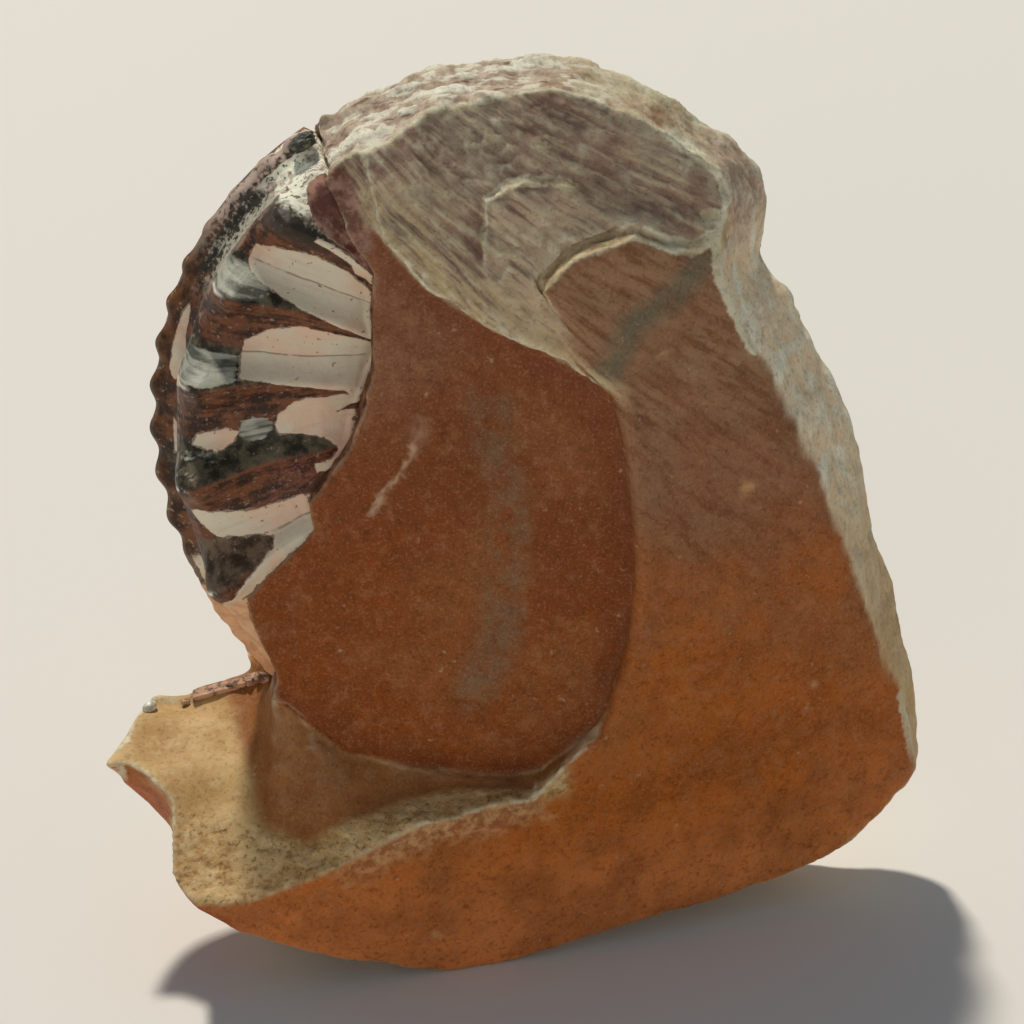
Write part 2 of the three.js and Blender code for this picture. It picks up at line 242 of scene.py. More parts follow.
# The step beside the disc is worn too, and so are edges at the foot of the break and on the ledge.
x, y, z = sharp.T
off_disc = np.abs(within(DISC, sharp[:, [0, 2]]))
ground = (x > -30) & (x < -5) & (z > -49) & (z < -33)
ground &= y > np.maximum(-16, np.interp(x, RIM_X, RIM_AWAY) + 1.2)
foot = (x > -1.6) & (x < 6) & (z > 0) & (z < 9.5)
foot |= (x > -8) & (x < -4) & (z > 8) & (z < 13.5)
off_ridge = off_path(ON_RIDGE, sharp[:, [0, 2]])
foot |= (x > 1.5) & (x < 13.5) & (z > 14.6) & (z < 20.5) & (off_ridge > 1)
worn_step = (x > 3) & (z > -38) & (z < 2)
sharp = sharp[~(((off_disc > 0.9) & (ground | foot)) | worn_step)]
tree = tree_of(sharp)

pairs = column_of(stone_mesh.edges, "vertices", 2, np.int32)
points = points_of(stone_mesh)
from_edge = np.array([tree.find(p)[2] for p in points])
points = relaxed(points, pairs, np.full(len(points), 0.5), 3)
points = relaxed(points, pairs, 0.6 * ramp(from_edge, 0.4, 2.2), 70)
# The break leans back where it meets the crown, and the ledge rises to its back edge.
x, y, z = points.T
crown_edge = np.interp(x, CROWN_EDGE[0], CROWN_EDGE[1])
lean = np.interp(x, CROWN_EDGE[0], CROWN_EDGE[2]) * ramp(z, crown_edge - 6, crown_edge)
lean *= 1 - ramp(y, -6.5, 3)
back_rise = ramp(y, -0.5, 2) * ramp(x, -36.5, -34) * (1 - ramp(x, -30, -27)) * ramp(z, -43, -41)
back_rise *= 1 - ramp(z, -37, -35)
tail_side = np.exp(-(((x + 27) / 2.5) ** 2) - ((z + 22.5) / 3.5) ** 2) * ramp(-y, 6, 8)
points += np.stack([-tail_side, lean, 0.35 * lean + 0.8 * back_rise], 1)
# No natural edge runs straight.
off_base = ramp(points[:, 2], -61.2, -59)
uneven = (1 - 0.6 * ramp(-points[:, 2], 30, 45)) * off_base
wander = [0.3 * off_base * lumps(points, 4.5, 50 + k) for k in range(3)]
wander = [w + 0.14 * uneven * lumps(points, 1.7, 60 + k) for k, w in enumerate(wander)]
points += np.stack(wander, 1)
place_points(stone_mesh, points)
normals = normals_of(stone_mesh)
x, y, z = points.T

# Which of its faces and strips each point belongs to, from 0 to 1.
over_front = np.stack([x, z], 1)
faces_front = ramp(-normals[:, 1], 0.45, 0.7)
in_disc = within(DISC, over_front)
disc = faces_front * ramp(in_disc, -0.2, 0.2)
broken = within(DISC_TOP[1:] + DISC_BORDER[:4] + FACE_RIDGE + BREAK_TOP, over_front)
broken = faces_front * ramp(broken, -0.2, 0.2) * (1 - disc)
front = faces_front * (1 - disc - broken)
behind_rim = ramp(y - np.interp(x, RIM_X, RIM_AWAY), 0.8, 1.6)
behind_rim *= ramp(z - np.interp(x, RIM_X, RIM_HEIGHT), -1.2, -0.2)
ledge = np.maximum(ramp(normals[:, 2], 0.3, 0.5), behind_rim) * ramp(-z, 33.5, 34.5)
ledge = ledge * ramp(-x, -2, -1) * ramp(-y, -5, -4) * ramp(y, -20.5, -19.5)
ledge = ledge * (1 - disc) * ramp(normals[:, 2], -0.4, -0.2)
front = front * (1 - ledge)
regions = relaxed(np.stack([disc, broken, front, ledge], 1), pairs, np.full(len(x), 0.5), 2)
disc, broken, front, ledge = regions.T
crust = np.clip(1 - regions.sum(1), 0, 1)
# The dark corner between the disc and the start of the whorl.
corner = [(-24.5, 19), (-19.6, 21.4), (-18.3, 19), (-16.6, 14.5), (-18.6, 12), (-23.5, 15)]
corner = ramp(within(corner, over_front), -0.7, 0.5) * ramp(-y, 3, 5)
# The strip of the front under the ledge's rim, and the front's olive upper part.
rim_foot = np.interp(x, RIM_X, RIM_HEIGHT) - z
apron = front * (1 - ramp(rim_foot, 0, 6)) * ramp(x, -28, -14) * (1 - ramp(x, -3, 1))
front_top = front * ramp(z + 5 * lumps(points, 9, 74), -34, 12)
lip = ledge * ramp(np.interp(x, *STRIP_EDGE) - y, -0.6, 0.8)  # its rough outer strip
# The low walls along the ridge of the break and along the edge of its flake.
above_ridge = off_path(ON_RIDGE, over_front)
steps_up = np.minimum(above_ridge, off_path(np.array(FLAKE_EDGE), over_front))
wall_side = (1 - ramp(steps_up, 1.6, 2.2)) * ramp(-y, 3, 4)
crown = crust * ramp(z, 12, 16) * ramp(-y, -6, -3) * (1 - wall_side)
back = crust * ramp(y, 4, 9)
# A pale fringe lies along the disc's upper border.
fringe_reach = 1.6 + 2.2 * ramp(-x, -4, 3)
off_border = off_path(np.array(DISC_BORDER[:5]), over_front)
fringe = (1 - disc) * (1 - ramp(off_border / fringe_reach, 0.5, 1.4))
fringe *= faces_front * ramp(z, -2, 2)
wall = crust * wall_side
# The red underside of the ledge's free end.
tip = (1 - ledge) * ramp(-x, 29, 31) * ramp(-z, 43.5, 45)
tip = tip * ramp(-normals[:, 2], 0.1, 0.35) * ramp(8 - y, 0, 6)
crust = crust * (1 - tip)
low = ramp(-z + 9 * lumps(points, 18, 47), -16, 38)  # from the crown to the foot

# The rough break is hackled: fine streaks and low scarps fan out from beyond its upper left.
fan = np.hypot(x + 41, z - 45)
across = np.arctan2(z - 45, x + 41) * 50
streaks = np.stack([across, fan / 6, y / 4], 1)
scarp = across / 6 + 2.2 * lumps(points, 6, 11) + 0.9 * lumps(streaks, 1.6, 12)
scarp -= np.floor(scarp)
hackles = np.where(scarp < 0.85, scarp / 0.85, (1 - scarp) / 0.15) - 0.5
hackles *= 0.16 * ramp(lumps(points, 9, 15), -0.5, 0.5)
hackles += 0.22 * crumble(streaks, 1.1, 13, 4) + 0.2 * lumps(points, 5, 14)
hackles += 0.07 * crumble(points, 1.4, 16, 3)
hackles += 0.6 * (1 - ramp(above_ridge, 0.4, 3.2)) * (1 - ramp(x, 8, 12))

# The crown keeps thin flakes of the shell that once went over it, laid along the coil.
# Each is given by its middle, along the coil and across it, its length and its width.
CROWN_FLAKES = [
    (66.2, -4.3, 2.6, 0.9), (64.0, -3.9, 4.8, 1.3), (61.8, -1.8, 2.4, 0.7), (59.0, -2.6, 2.2, 0.8),
    (55.4, -1.5, 5.4, 1.3), (53.0, 0.4, 2.6, 0.8), (49.8, 1.2, 3.2, 1.1), (47.0, 1.9, 3.4, 1.0),
    (58.5, 0.4, 2.6, 0.7), (61.0, 1.6, 3.0, 1.0), (56.5, 2.9, 4.0, 1.2), (63.5, 3.5, 3.4, 1.1),
    (52.0, 4.2, 3.6, 1.0), (48.0, 5.0, 3.0, 0.9), (57.0, 6.2, 4.2, 1.3), (44.0, 5.2, 2.8, 1.0),
]  # fmt: skip
turn = np.degrees(np.arctan2(z, x)) % 360
arc = np.radians(turn) * CROWN_RADIUS
along_coil = np.stack([arc / 2.4, y * 1.3, np.hypot(x, z)], 1)
plates = 1.8 * lumps(along_coil, 2.2, 21) + 0.7 * lumps(along_coil, 1.0, 22)
plates = np.round(plates * 2) / 2
ragged = 0.45 * lumps(points, 1.3, 24) + 0.3 * lumps(points, 0.7, 25)
flakes = np.zeros(len(x))
for middle, depth, long, wide in CROWN_FLAKES:
    off = np.hypot((arc - middle) / long, (y - depth - 0.12 * (arc - middle)) / wide) * 2 + ragged
    flakes = np.maximum(flakes, 1 - ramp(off, 0.9, 1.05))
flakes *= crust * ramp(z, 8, 12)

# How far each of its faces stands out or is worn back.
rough = crumble(points, 3.2, 31)
fine = crumble(points, 1.1, 32, 3)
chips = (1 - ramp(from_edge, 0.1, 1.1)) * ramp(lumps(points, 2.2, 33), 0.0, 0.7)
pocked = ramp(lumps(points, 3.4, 71), 0.35, 0.75) * ramp(lumps(points, 16, 72), -0.3, 0.4)
behind = 0.6 * lumps(points, 14, 46) + 0.35 * lumps(points, 5, 73) - 0.35 * pocked
height = disc * (0.06 * lumps(points, 9, 41) + 0.02 * fine)
step_side = ramp(x, 0, 4) * ramp(z, -40, -34) * faces_front
height -= step_side * 0.35 * np.exp(-(((in_disc - 0.5) / 0.7) ** 2))
height += step_side * 0.4 * np.exp(-(((in_disc + 1.1) / 0.9) ** 2))
height += front * (0.12 * lumps(points, 7, 42) + 0.04 * fine)
height += broken * hackles
height += (ledge - lip) * (0.07 * lumps(points, 5, 43) + 0.03 * fine)
strip_relief = 0.1 * crumble(points, (3, 1.6, 1.2), 44)
strip_relief = strip_relief + 0.2 * crumble(points, (1.0, 0.8, 0.7), 48, 2)
height += lip * strip_relief
height += crust * (0.16 * rough + 0.09 * fine + 0.12 * lumps(points, 7, 45))
height += crown * 0.17 * plates + 0.17 * flakes + back * behind
height -= 0.4 * chips * (1 - disc) * (1 - flakes) * (1 - 0.8 * ramp(-z, 30, 42))
# The crust is broken away where the whorl comes out from under the crown.
at_start = crust * ramp(-x, 18, 21.5) * ramp(z, 12, 15) * ramp(5 - y, 0, 3)
height -= at_start * (0.75 - 0.3 * rough)
points += height[:, None] * normals
place_points(stone_mesh, points)
normals = normals_of(stone_mesh)
around = relaxed(points, pairs, np.ones(len(points)), 2)
bulge = ((points - around) * normals).sum(1)
bulge = relaxed(bulge[:, None], pairs, np.full(len(x), 0.5), 1)[:, 0]  # crest or crease

# Streaks of other mineral that cross the disc and the front, as paths over x and z.
GREY_STREAK = [(-6, -1), (-6, -3.8), (-4.2, -13.1), (-5.1, -26), (-8, -32.7)]
PALE_STREAK = [(-13.2, -5.5), (-14.3, -8.3), (-16, -10.2), (-17.3, -12.8)]
BLUE_STREAK = [(14.5, 12.4), (12.4, 10.4), (6.9, 6.4), (4, 1.5)]
# Pale chips in the worn front, each by its middle and its half width and half height.
PALE_CHIPS = [
    (10.1, 3.6, 0.7, 0.3), (25.0, -34.5, 0.45, 0.45), (-11.4, -56.8, 0.9, 0.35),
    (-0.7, -44.3, 0.6, 0.6), (18.3, -11.3, 0.9, 0.8), (9.4, 5.0, 0.3, 0.25),
]  # fmt: skip
pale_chips = np.zeros(len(x))
for middle, at_height, half_width, half_height in PALE_CHIPS:
    off = np.hypot((x - middle) / half_width, (z - at_height) / half_height)
    pale_chips = np.maximum(pale_chips, front * (1 - ramp(off, 0.4, 1.3)))
by_whorl = faces_front * ramp(-x, 14, 16) * ramp(z, -31, -28) * (1 - ramp(z, 12, 15))
coil_side = crust * ramp(-x, 15, 16.5) * ramp(-y, 5, 6.5)
coil_side = coil_side * ramp(z, -40, -36) * (1 - ramp(z, 14, 17))
# What the stone's material reads at each point.
masks = {
    "disc": disc,
    "broken": broken,
    "ledge": ledge,
    "lip": lip,
    # Where the whorl's shadow falls on the ledge: painted shade goes there.
    "shaded": ledge * (1 - lip) * ramp(x + 0.3 * y, -32.6, -31),
    "wall": wall,
    "corner": corner,
    "at_start": at_start,
    "coil_side": coil_side,
    "tip": tip,
    "apron": apron,
    "front_top": front_top,
    "in_disc": in_disc,
    "crust": crust,
    "crown": crown,
    "flakes": flakes,
    "fringe": fringe,
    "low": low,
    "arc": arc,
    "from_edge": from_edge + 9 * by_whorl,
    "across": across,
    "fan": fan,
    "grey_streak": 1 - ramp(off_path(np.array(GREY_STREAK), over_front), 0.5, 3.2),
    "pale_streak": np.maximum(
        1 - ramp(off_path(np.array(PALE_STREAK), over_front), 0.1, 0.75),
        0.55 - 0.55 * ramp(np.hypot((x + 12.8) / 1.6, (z + 3.4) / 2.6), 0.2, 1.5),
    ),
    "blue_streak": (1 - ramp(off_path(np.array(BLUE_STREAK), over_front), 0.4, 2.4)) * front,
    "pale_chips": pale_chips,
    "crest": np.clip((bulge - 0.04 * (disc + front)) / 0.07, 0, 1) * (1 - by_whorl),
    "crease": np.clip(-bulge / 0.07, 0, 1),
}
stone_mesh = reshaped(stone_mesh, "DECIMATE", ratio=SKIN_KEPT)
tree = tree_of(points)
nearest = np.array([tree.find(p)[1] for p in points_of(stone_mesh)])
for name, values in masks.items():
    set_mask(stone_mesh, name, values[nearest])
shade_smooth(stone_mesh)

stone = add_piece("nodule", stone_mesh)
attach(stone, "root")
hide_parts("stone_matrix")


# Its finish. The stone is worn to a dull polish, deep red-brown where it is fresh and purple-grey
# on the rough break. Weather has left a yellow-grey crust on its outside and has paled its edges.


class Flow:
    """What flows from one shader node to the next. Arithmetic on it adds Math nodes."""

    def __init__(self, finish, socket):
        self.finish = finish
        self.socket = socket

    def math(self, operation, first, *second):
        values = dict(enumerate((first, *second)))
        return self.finish.node("ShaderNodeMath", {"operation": operation}, values)

    def __add__(self, other):
        return self.math("ADD", self, other)

    def __mul__(self, other):
        return self.math("MULTIPLY", self, other)

    def __sub__(self, other):
        return self.math("SUBTRACT", self, other)

    def __rsub__(self, other):
        return self.math("SUBTRACT", other, self)

    def __abs__(self):
        return self.math("ABSOLUTE", self)

    __radd__ = __add__
    __rmul__ = __mul__


class Finish:
    """The material of one piece. Lengths are in mm."""

    def __init__(self, name):
        self.material = bpy.data.materials.new(name)
        self.material.use_nodes = True
        self.tree = self.material.node_tree
        self.surface = self.tree.nodes["Principled BSDF"]
        place = self.node("ShaderNodeTexCoord", {}, {}, "Object")
        self.place = self.node(
            "ShaderNodeVectorMath", {"operation": "SCALE"}, {0: place, "Scale": float(TO_MM)}
        )

    def node(self, kind, settings, sockets, output=0):
        """Adds a node, sets it up, fills its sockets and gives back one of its outputs."""
        made = self.tree.nodes.new(kind)
        for name, value in settings.items():
            setattr(made, name, value)
        for name, value in sockets.items():
            self.feed(made.inputs[name], value)
        return Flow(self, made.outputs[output])

    def feed(self, socket, value):
        if isinstance(value, Flow):
            self.tree.links.new(value.socket, socket)
        else:
            socket.default_value = value

    def mask(self, name):
        """What set_mask has kept under a name."""
        return self.node("ShaderNodeAttribute", {"attribute_name": name}, {}, "Fac")

    def along(self, axis):
        """The place along one axis in mm, from the middle of the coil."""
        middle = COIL["XYZ".index(axis)] * TO_MM
        parts = self.node("ShaderNodeSeparateXYZ", {}, {0: self.place}, axis)
        return parts - middle

    def step(self, value, low, high):
        """Eased from 0 at low to 1 at high."""
        sockets = {"Value": value, "From Min": low, "From Max": high}
        return self.node("ShaderNodeMapRange", {"interpolation_type": "SMOOTHSTEP"}, sockets)

    def noise(self, size, detail=4, roughness=0.55, stretch=(1, 1, 1), shift=0):
        """Noise of a size in mm. The shift keeps it unlike the others of its kind."""
        scale = tuple(1 / (size * s) for s in stretch)
        sockets = {"Vector": self.place, "Location": (shift, shift, shift), "Scale": scale}
        place = self.node("ShaderNodeMapping", {}, sockets)
        sockets = {"Vector": place, "Scale": 1.0, "Detail": detail, "Roughness": roughness}
        return self.node("ShaderNodeTexNoise", {}, sockets)

    def streaks(self, across, along, scale, detail):
        """Noise that is laid out by two measures across and along it."""
        place = self.node("ShaderNodeCombineXYZ", {}, {0: across, 1: along, 2: 0.0})
        sockets = {"Vector": place, "Scale": scale, "Detail": detail}
        return self.node("ShaderNodeTexNoise", {}, sockets)

    def mix(self, share, first, second):
        """A share of the second colour over the first."""
        colors = [v if isinstance(v, Flow) else (*v, 1) for v in (first, second)]
        settings = {"data_type": "RGBA"}
        return self.node("ShaderNodeMix", settings, {0: share, 6: colors[0], 7: colors[1]}, 2)

    def bump(self, height, distance, strength=1.0, normal=None):
        sockets = {"Height": height, "Distance": distance * MM, "Strength": strength}
        if normal:
            sockets["Normal"] = normal
        return self.node("ShaderNodeBump", {}, sockets)

    def wear(self, piece, **sockets):
        """Fills the surface's sockets and puts the finish on a piece."""
        for name, value in sockets.items():
            self.feed(self.surface.inputs[name.replace("_", " ")], value)
        piece.data.materials.clear()
        piece.data.materials.append(self.material)


f = Finish("red nodule stone")
blotch = f.noise(6, 5, 0.62)
patch = f.noise(14, 3, 0.5, shift=40)
cloud = f.noise(3.2, 4, 0.6, shift=61)
mottle = f.noise(1.3, 4, 0.65, shift=8)
grain = f.noise(0.45, 3, 0.6, shift=3)
speck = f.noise(0.9, 2, 0.5, shift=9)
dust = f.noise(0.25, 2, 0.6, shift=13)
across, fan = f.mask("across"), f.mask("fan") * 0.12
fibres = f.streaks(across, fan, 1.4, 4.0) + 0.35 * f.streaks(across, fan, 3.6, 3.0)
layer = f.streaks(f.mask("arc") * 0.35, f.along("Y"), 0.9, 5.0)
x, y, z = (f.along(axis) for axis in "XYZ")
low = f.mask("low")

# The fresh stone of the disc and the front, redder towards the foot, with painted light low down.
TOP_RED, LOW_RED, LOWER_RED = (0.265, 0.118, 0.064), (0.27, 0.066, 0.006), (0.46, 0.12, 0.01)
FOOT_ORANGE_AND_BOUNCE, DISC_RED, BLOTCH_RED = (0.7, 0.23, 0.065), (0.21, 0.043, 0.003), (0.17, 0.045, 0.007)
PATCH_TAN, MOTTLE_TAN, MOTTLE_RED = (0.34, 0.13, 0.04), (0.42, 0.21, 0.1), (0.13, 0.034, 0.006)
BORDER_RED, STREAK_GREY = (0.15, 0.03, 0.006), (0.18, 0.135, 0.08)
STREAK_CREAM, STREAK_BLUE = (0.5, 0.32, 0.2), (0.15, 0.14, 0.09)
red = f.mix(low, TOP_RED, LOW_RED)
# Painted light in part: brighter and more orange low down and at the foot, for the floor's warm
# bounce.
red = f.mix(f.step(low, 0.35, 1.15), red, LOWER_RED)
red = f.mix(f.step(z * -1, 42, 58) * 0.85, red, FOOT_ORANGE_AND_BOUNCE)
red = f.mix(f.mask("disc") * f.step(low, -0.1, 0.4) * 0.75, red, DISC_RED)
red = f.mix(f.step(blotch, 0.36, 0.64) * 0.45, red, BLOTCH_RED)
red = f.mix(f.step(patch, 0.5, 0.68) * 0.35, red, PATCH_TAN)
red = f.mix(f.step(mottle + 0.3 * cloud, 0.64, 0.86) * 0.28, red, MOTTLE_TAN)
red = f.mix((1 - f.step(mottle + 0.5 * grain, 0.58, 0.72)) * 0.3, red, MOTTLE_RED)
olive_top = f.mix(f.step(fibres, 0.5, 0.75), (0.19, 0.088, 0.04), (0.37, 0.225, 0.127))
red = f.mix(f.mask("front_top") * (0.34 + 0.42 * f.step(blotch, 0.35, 0.6)), red, olive_top)
in_disc = f.mask("in_disc")
by_border = f.step(in_disc + 1.2 * (blotch - 0.5), -0.5, 0.8) * (1 - f.step(in_disc, 1, 4))
red = f.mix(by_border * 0.45, red, BORDER_RED)
streaked = f.step(cloud + 0.4 * mottle, 0.5, 0.85)
red = f.mix(f.mask("grey_streak") * streaked * 0.6, red, STREAK_GREY)
pale_streak = f.mask("pale_streak")
red = f.mix(pale_streak * f.step(cloud + 0.4 * pale_streak, 0.55, 0.9), red, STREAK_CREAM)
red = f.mix(f.mask("blue_streak") * (0.35 + 0.5 * streaked), red, STREAK_BLUE)

# The rough break, paler at its lower left, and browner under the step in its ridge, where shade is
# painted.
BREAK_OLIVE, BREAK_CREAM, BREAK_SHADE_BROWN = (0.35, 0.33, 0.24), (0.58, 0.45, 0.31), (0.3, 0.15, 0.075)
purple = f.mix(f.step(blotch, 0.4, 0.64), (0.25, 0.16, 0.125), (0.4, 0.29, 0.2))
purple = f.mix(f.step(patch, 0.5, 0.66) * 0.6, purple, BREAK_OLIVE)
inner = f.step(x, -7, -5) * (1 - f.step(x, 2, 8)) * (1 - f.step(z, 17, 20))
purple = f.mix(inner * f.step(fibres, 0.4, 0.68) * 0.75, purple, BREAK_CREAM)
# Painted shade: browner under the step in the break's ridge.
under_step = f.step(x, -0.5, 2) * (1 - f.step(z, 10, 14))
purple = f.mix(under_step * 0.6, purple, BREAK_SHADE_BROWN)

# The weathered crust: pale and stained above, sandy below, and on its right side pale with painted
# light.
CRUST_RUST, CRUST_BROWN, TAIL_BROWN = (0.5, 0.31, 0.17), (0.4, 0.26, 0.16), (0.4, 0.24, 0.18)
SAND_BROWN, SAND_YELLOW = (0.42, 0.24, 0.13), (0.85, 0.55, 0.24)
pale = f.noise(3, 4, 0.6, shift=17)
pale = f.mix(f.step(pale, 0.35, 0.65), (0.62, 0.56, 0.36), (0.82, 0.8, 0.6))
stain = f.noise(4, 5, 0.65, shift=5) + 0.5 * (patch - 0.5)
weathered = f.mix(f.step(stain, 0.34, 0.6), CRUST_BROWN, pale)
weathered = f.mix(f.step(patch + 0.3 * blotch, 0.66, 0.84) * 0.6, weathered, CRUST_RUST)
sandy = f.mix(f.step(blotch + 0.35 * mottle, 0.48, 0.86), (0.36, 0.17, 0.065), (0.64, 0.43, 0.23))
sandy = f.mix(f.step(patch, 0.42, 0.62) * 0.6, sandy, SAND_BROWN)
sandy = f.mix(f.step(x, 14, 20) * 0.7, sandy, SAND_YELLOW)
weathered = f.mix(f.step(low, 0.35, 0.9) * 0.75, weathered, sandy)
# Painted light in part: the right side near white, a paler crust made brighter for the light on
# that side.
right_side = f.step(x - 0.25 * z, 8, 14) * (1 - f.step(low, 0.5, 1))
right_pale_and_lit = f.mix(f.step(cloud + 0.3 * mottle, 0.55, 0.8), (0.94, 0.72, 0.47), (1.0, 0.95, 0.74))
weathered = f.mix(right_side * 0.9, weathered, right_pale_and_lit)
upper_right = f.step(x, 12, 16) * f.step(z, 9, 15)
brownish = f.mix(f.step(mottle + 0.3 * cloud, 0.55, 0.8), (0.4, 0.25, 0.18), (0.66, 0.52, 0.4))
weathered = f.mix(upper_right * 0.75, weathered, brownish)
by_tail = f.step(x * -1, 23, 26) * (1 - f.step(z, -30, -20))
by_tail = by_tail * (1 - f.step(y + 5 * (blotch - 0.5), 3, 8))
by_tail = by_tail * (1 - f.step(z * -1, 37.5, 39))
weathered = f.mix(by_tail * 0.8, weathered, TAIL_BROWN)

# The ledge: tan, with a pitted outer strip, and painted shade at its back.
STRIP_TAN, STRIP_BROWN, STRIP_PIT = (0.7, 0.5, 0.26), (0.3, 0.17, 0.06), (0.14, 0.07, 0.02)
tan = f.mix(f.step(blotch, 0.4, 0.65), (0.5, 0.3, 0.11), (0.66, 0.45, 0.2))
tan = f.mix(f.step(mottle, 0.5, 0.7) * 0.4, tan, (0.72, 0.56, 0.32))
# Painted shade in part: darker red-brown where the whorl's shadow falls, over the ground's own
# redder tone.
shaded = f.mix(f.step(cloud, 0.4, 0.65), (0.23, 0.06, 0.008), (0.31, 0.098, 0.02))
tan = f.mix(f.mask("shaded") * 0.85, tan, shaded)
pits = f.mask("lip") * (1 - f.step(mottle + 0.4 * grain, 0.58, 0.68))
tan = f.mix(f.mask("lip") * f.step(mottle, 0.45, 0.65) * 0.45, tan, STRIP_TAN)
tan = f.mix(pits * 0.55, tan, STRIP_BROWN)
pits = f.mask("lip") * (1 - f.step(grain + 0.5 * speck, 0.56, 0.64))
tan = f.mix(pits * 0.45, tan, STRIP_PIT)

# All of it together, from the broad faces to the strips and patches on them.
FIBRE_CREAM, FIBRE_BROWN, FRINGE_CREAM = (0.5, 0.42, 0.28), (0.15, 0.09, 0.07), (0.54, 0.42, 0.24)
FLAKE_WHITE, FLAKE_BROWN, CREASE_SHADE = (0.8, 0.76, 0.62), (0.13, 0.07, 0.05), (0.12, 0.05, 0.025)
CHIP_TAN, GRAIN_DARK = (0.6, 0.34, 0.15), (0.07, 0.022, 0.006)
DUST_TAN, SPECK_TAN = (0.55, 0.32, 0.17), (0.6, 0.42, 0.28)
broken = f.mask("broken")
color = f.mix(broken, red, purple)
color = f.mix(f.step(fibres, 0.66, 0.84) * broken * 0.75, color, FIBRE_CREAM)
color = f.mix((1 - f.step(fibres, 0.5, 0.64)) * broken * 0.5, color, FIBRE_BROWN)
color = f.mix(f.mask("fringe") * f.step(fibres, 0.5, 0.78), color, FRINGE_CREAM)
corner = f.mask("corner")
deep = f.mix(f.step(mottle, 0.42, 0.62), (0.18, 0.08, 0.055), (0.37, 0.21, 0.16))
deep = f.mix(f.step(cloud, 0.5, 0.65) * 0.6, deep, (0.3, 0.18, 0.15))
color = f.mix(corner * f.step(corner + mottle - 0.5, 0.2, 0.5), color, deep)
apron = f.mix(f.step(mottle, 0.4, 0.62), (0.34, 0.13, 0.05), (0.6, 0.36, 0.16))
by_ledge = f.mask("apron") * f.step(f.mask("apron") + 1.6 * (cloud - 0.5), 0.1, 0.6)
color = f.mix(by_ledge * 0.95, color, apron)
color = f.mix(f.mask("ledge"), color, tan)
color = f.mix(f.mask("crust"), color, weathered)
pink = f.mix(f.step(mottle, 0.35, 0.6), (0.34, 0.24, 0.19), (0.6, 0.5, 0.4))
color = f.mix(f.mask("crown") * (1 - f.step(x, -3, 4)) * 0.85, color, pink)
layered = f.mask("crown") * (1 - f.step(x, 0, 8))
color = f.mix(layered * f.step(layer + 0.15 * mottle, 0.59, 0.65), color, FLAKE_WHITE)
color = f.mix(layered * (1 - f.step(layer, 0.34, 0.4)) * 0.8, color, FLAKE_BROWN)
# Painted light in part: the low walls by the ridge and flake painted pale over their weathered
# tone.
ridge_tone_and_light = f.mix(f.step(mottle, 0.4, 0.6), (0.5, 0.35, 0.18), (0.74, 0.58, 0.34))
color = f.mix(f.mask("wall") * 0.9, color, ridge_tone_and_light)
color = f.mix(f.mask("crest") * (0.3 + 0.4 * broken) * (1 - corner), color, pale)
wider = 0.35 * f.step(x, 8, 12)
rim = 1 - f.step(f.mask("from_edge") + 0.9 * (mottle - 0.5) - wider, 0.1, 0.45)
rim = rim * f.step(z, -50, -40) * 0.75
for name in ("disc", "shaded", "at_start", "corner"):
    rim = rim * (1 - f.mask(name))
color = f.mix(rim, color, pale)
# Painted shade: creases darkened brown.
color = f.mix(f.mask("crease") * 0.35, color, CREASE_SHADE)
coil_side = f.mix(f.step(mottle, 0.42, 0.6), (0.13, 0.05, 0.025), (0.34, 0.15, 0.08))
color = f.mix(f.mask("coil_side"), color, coil_side)
tip = f.mix(f.step(cloud, 0.35, 0.6), (0.2, 0.045, 0.012), (0.42, 0.11, 0.03))
color = f.mix(f.mask("tip"), color, tip)
grit = f.step(f.noise(0.5, 2, 0.5, shift=19), 0.6, 0.66)
grit = f.mix(grit, (0.36, 0.26, 0.2), (0.06, 0.055, 0.04))
color = f.mix(f.mask("at_start") * f.step(mottle, 0.42, 0.6) * 0.8, color, grit)
white = f.mix(f.step(mottle, 0.4, 0.6), (0.66, 0.64, 0.5), (0.86, 0.85, 0.72))
color = f.mix(f.mask("flakes"), color, white)
color = f.mix(f.mask("pale_chips") * f.step(mottle, 0.3, 0.5) * 0.7, color, CHIP_TAN)
color = f.mix((1 - f.step(grain, 0.3, 0.5)) * 0.3, color, GRAIN_DARK)
color = f.mix(f.step(dust, 0.52, 0.66) * 0.18, color, DUST_TAN)
color = f.mix(f.step(speck, 0.68, 0.8) * 0.4, color, SPECK_TAN)

relief = f.bump(mottle, 0.3, 0.3 + 0.5 * f.mask("lip"))
relief = f.bump(grain, 0.08, 0.6, relief)
relief = f.bump(fibres * broken, 0.3, 0.5, relief)
f.surface.inputs["Specular IOR Level"].default_value = 0.16
f.wear(stone, Base_Color=color, Roughness=0.55 + 0.25 * f.mask("crust"), Normal=relief)


# ---- the whorl ----
# The ammonite's outer whorl, a shell turned to dark, glossy mineral and let into the stone that
# grew round it. Its ribs rise to a tubercle near the keel, which is beaded, and chalky infill
# shows in the hollows between the ribs.

KEEL_RADIUS = 37.5  # mm, where the turn is 180 degrees
GROWTH = 0.197  # of the radius, each radian
FIRST_RIB = 145  # degrees of turn, measured from +X towards +Z
RIB_PITCH = 16.9
RIBS = 5
BEADS_PER_RIB = 2.5
WHORL_ENDS = (136.6, 236.9)
BURIED = 0.33  # mm that it is let into the stone past its own skin
FINE_LENGTH = 27  # mm down the side that are finely meshed; the rest is in the stone

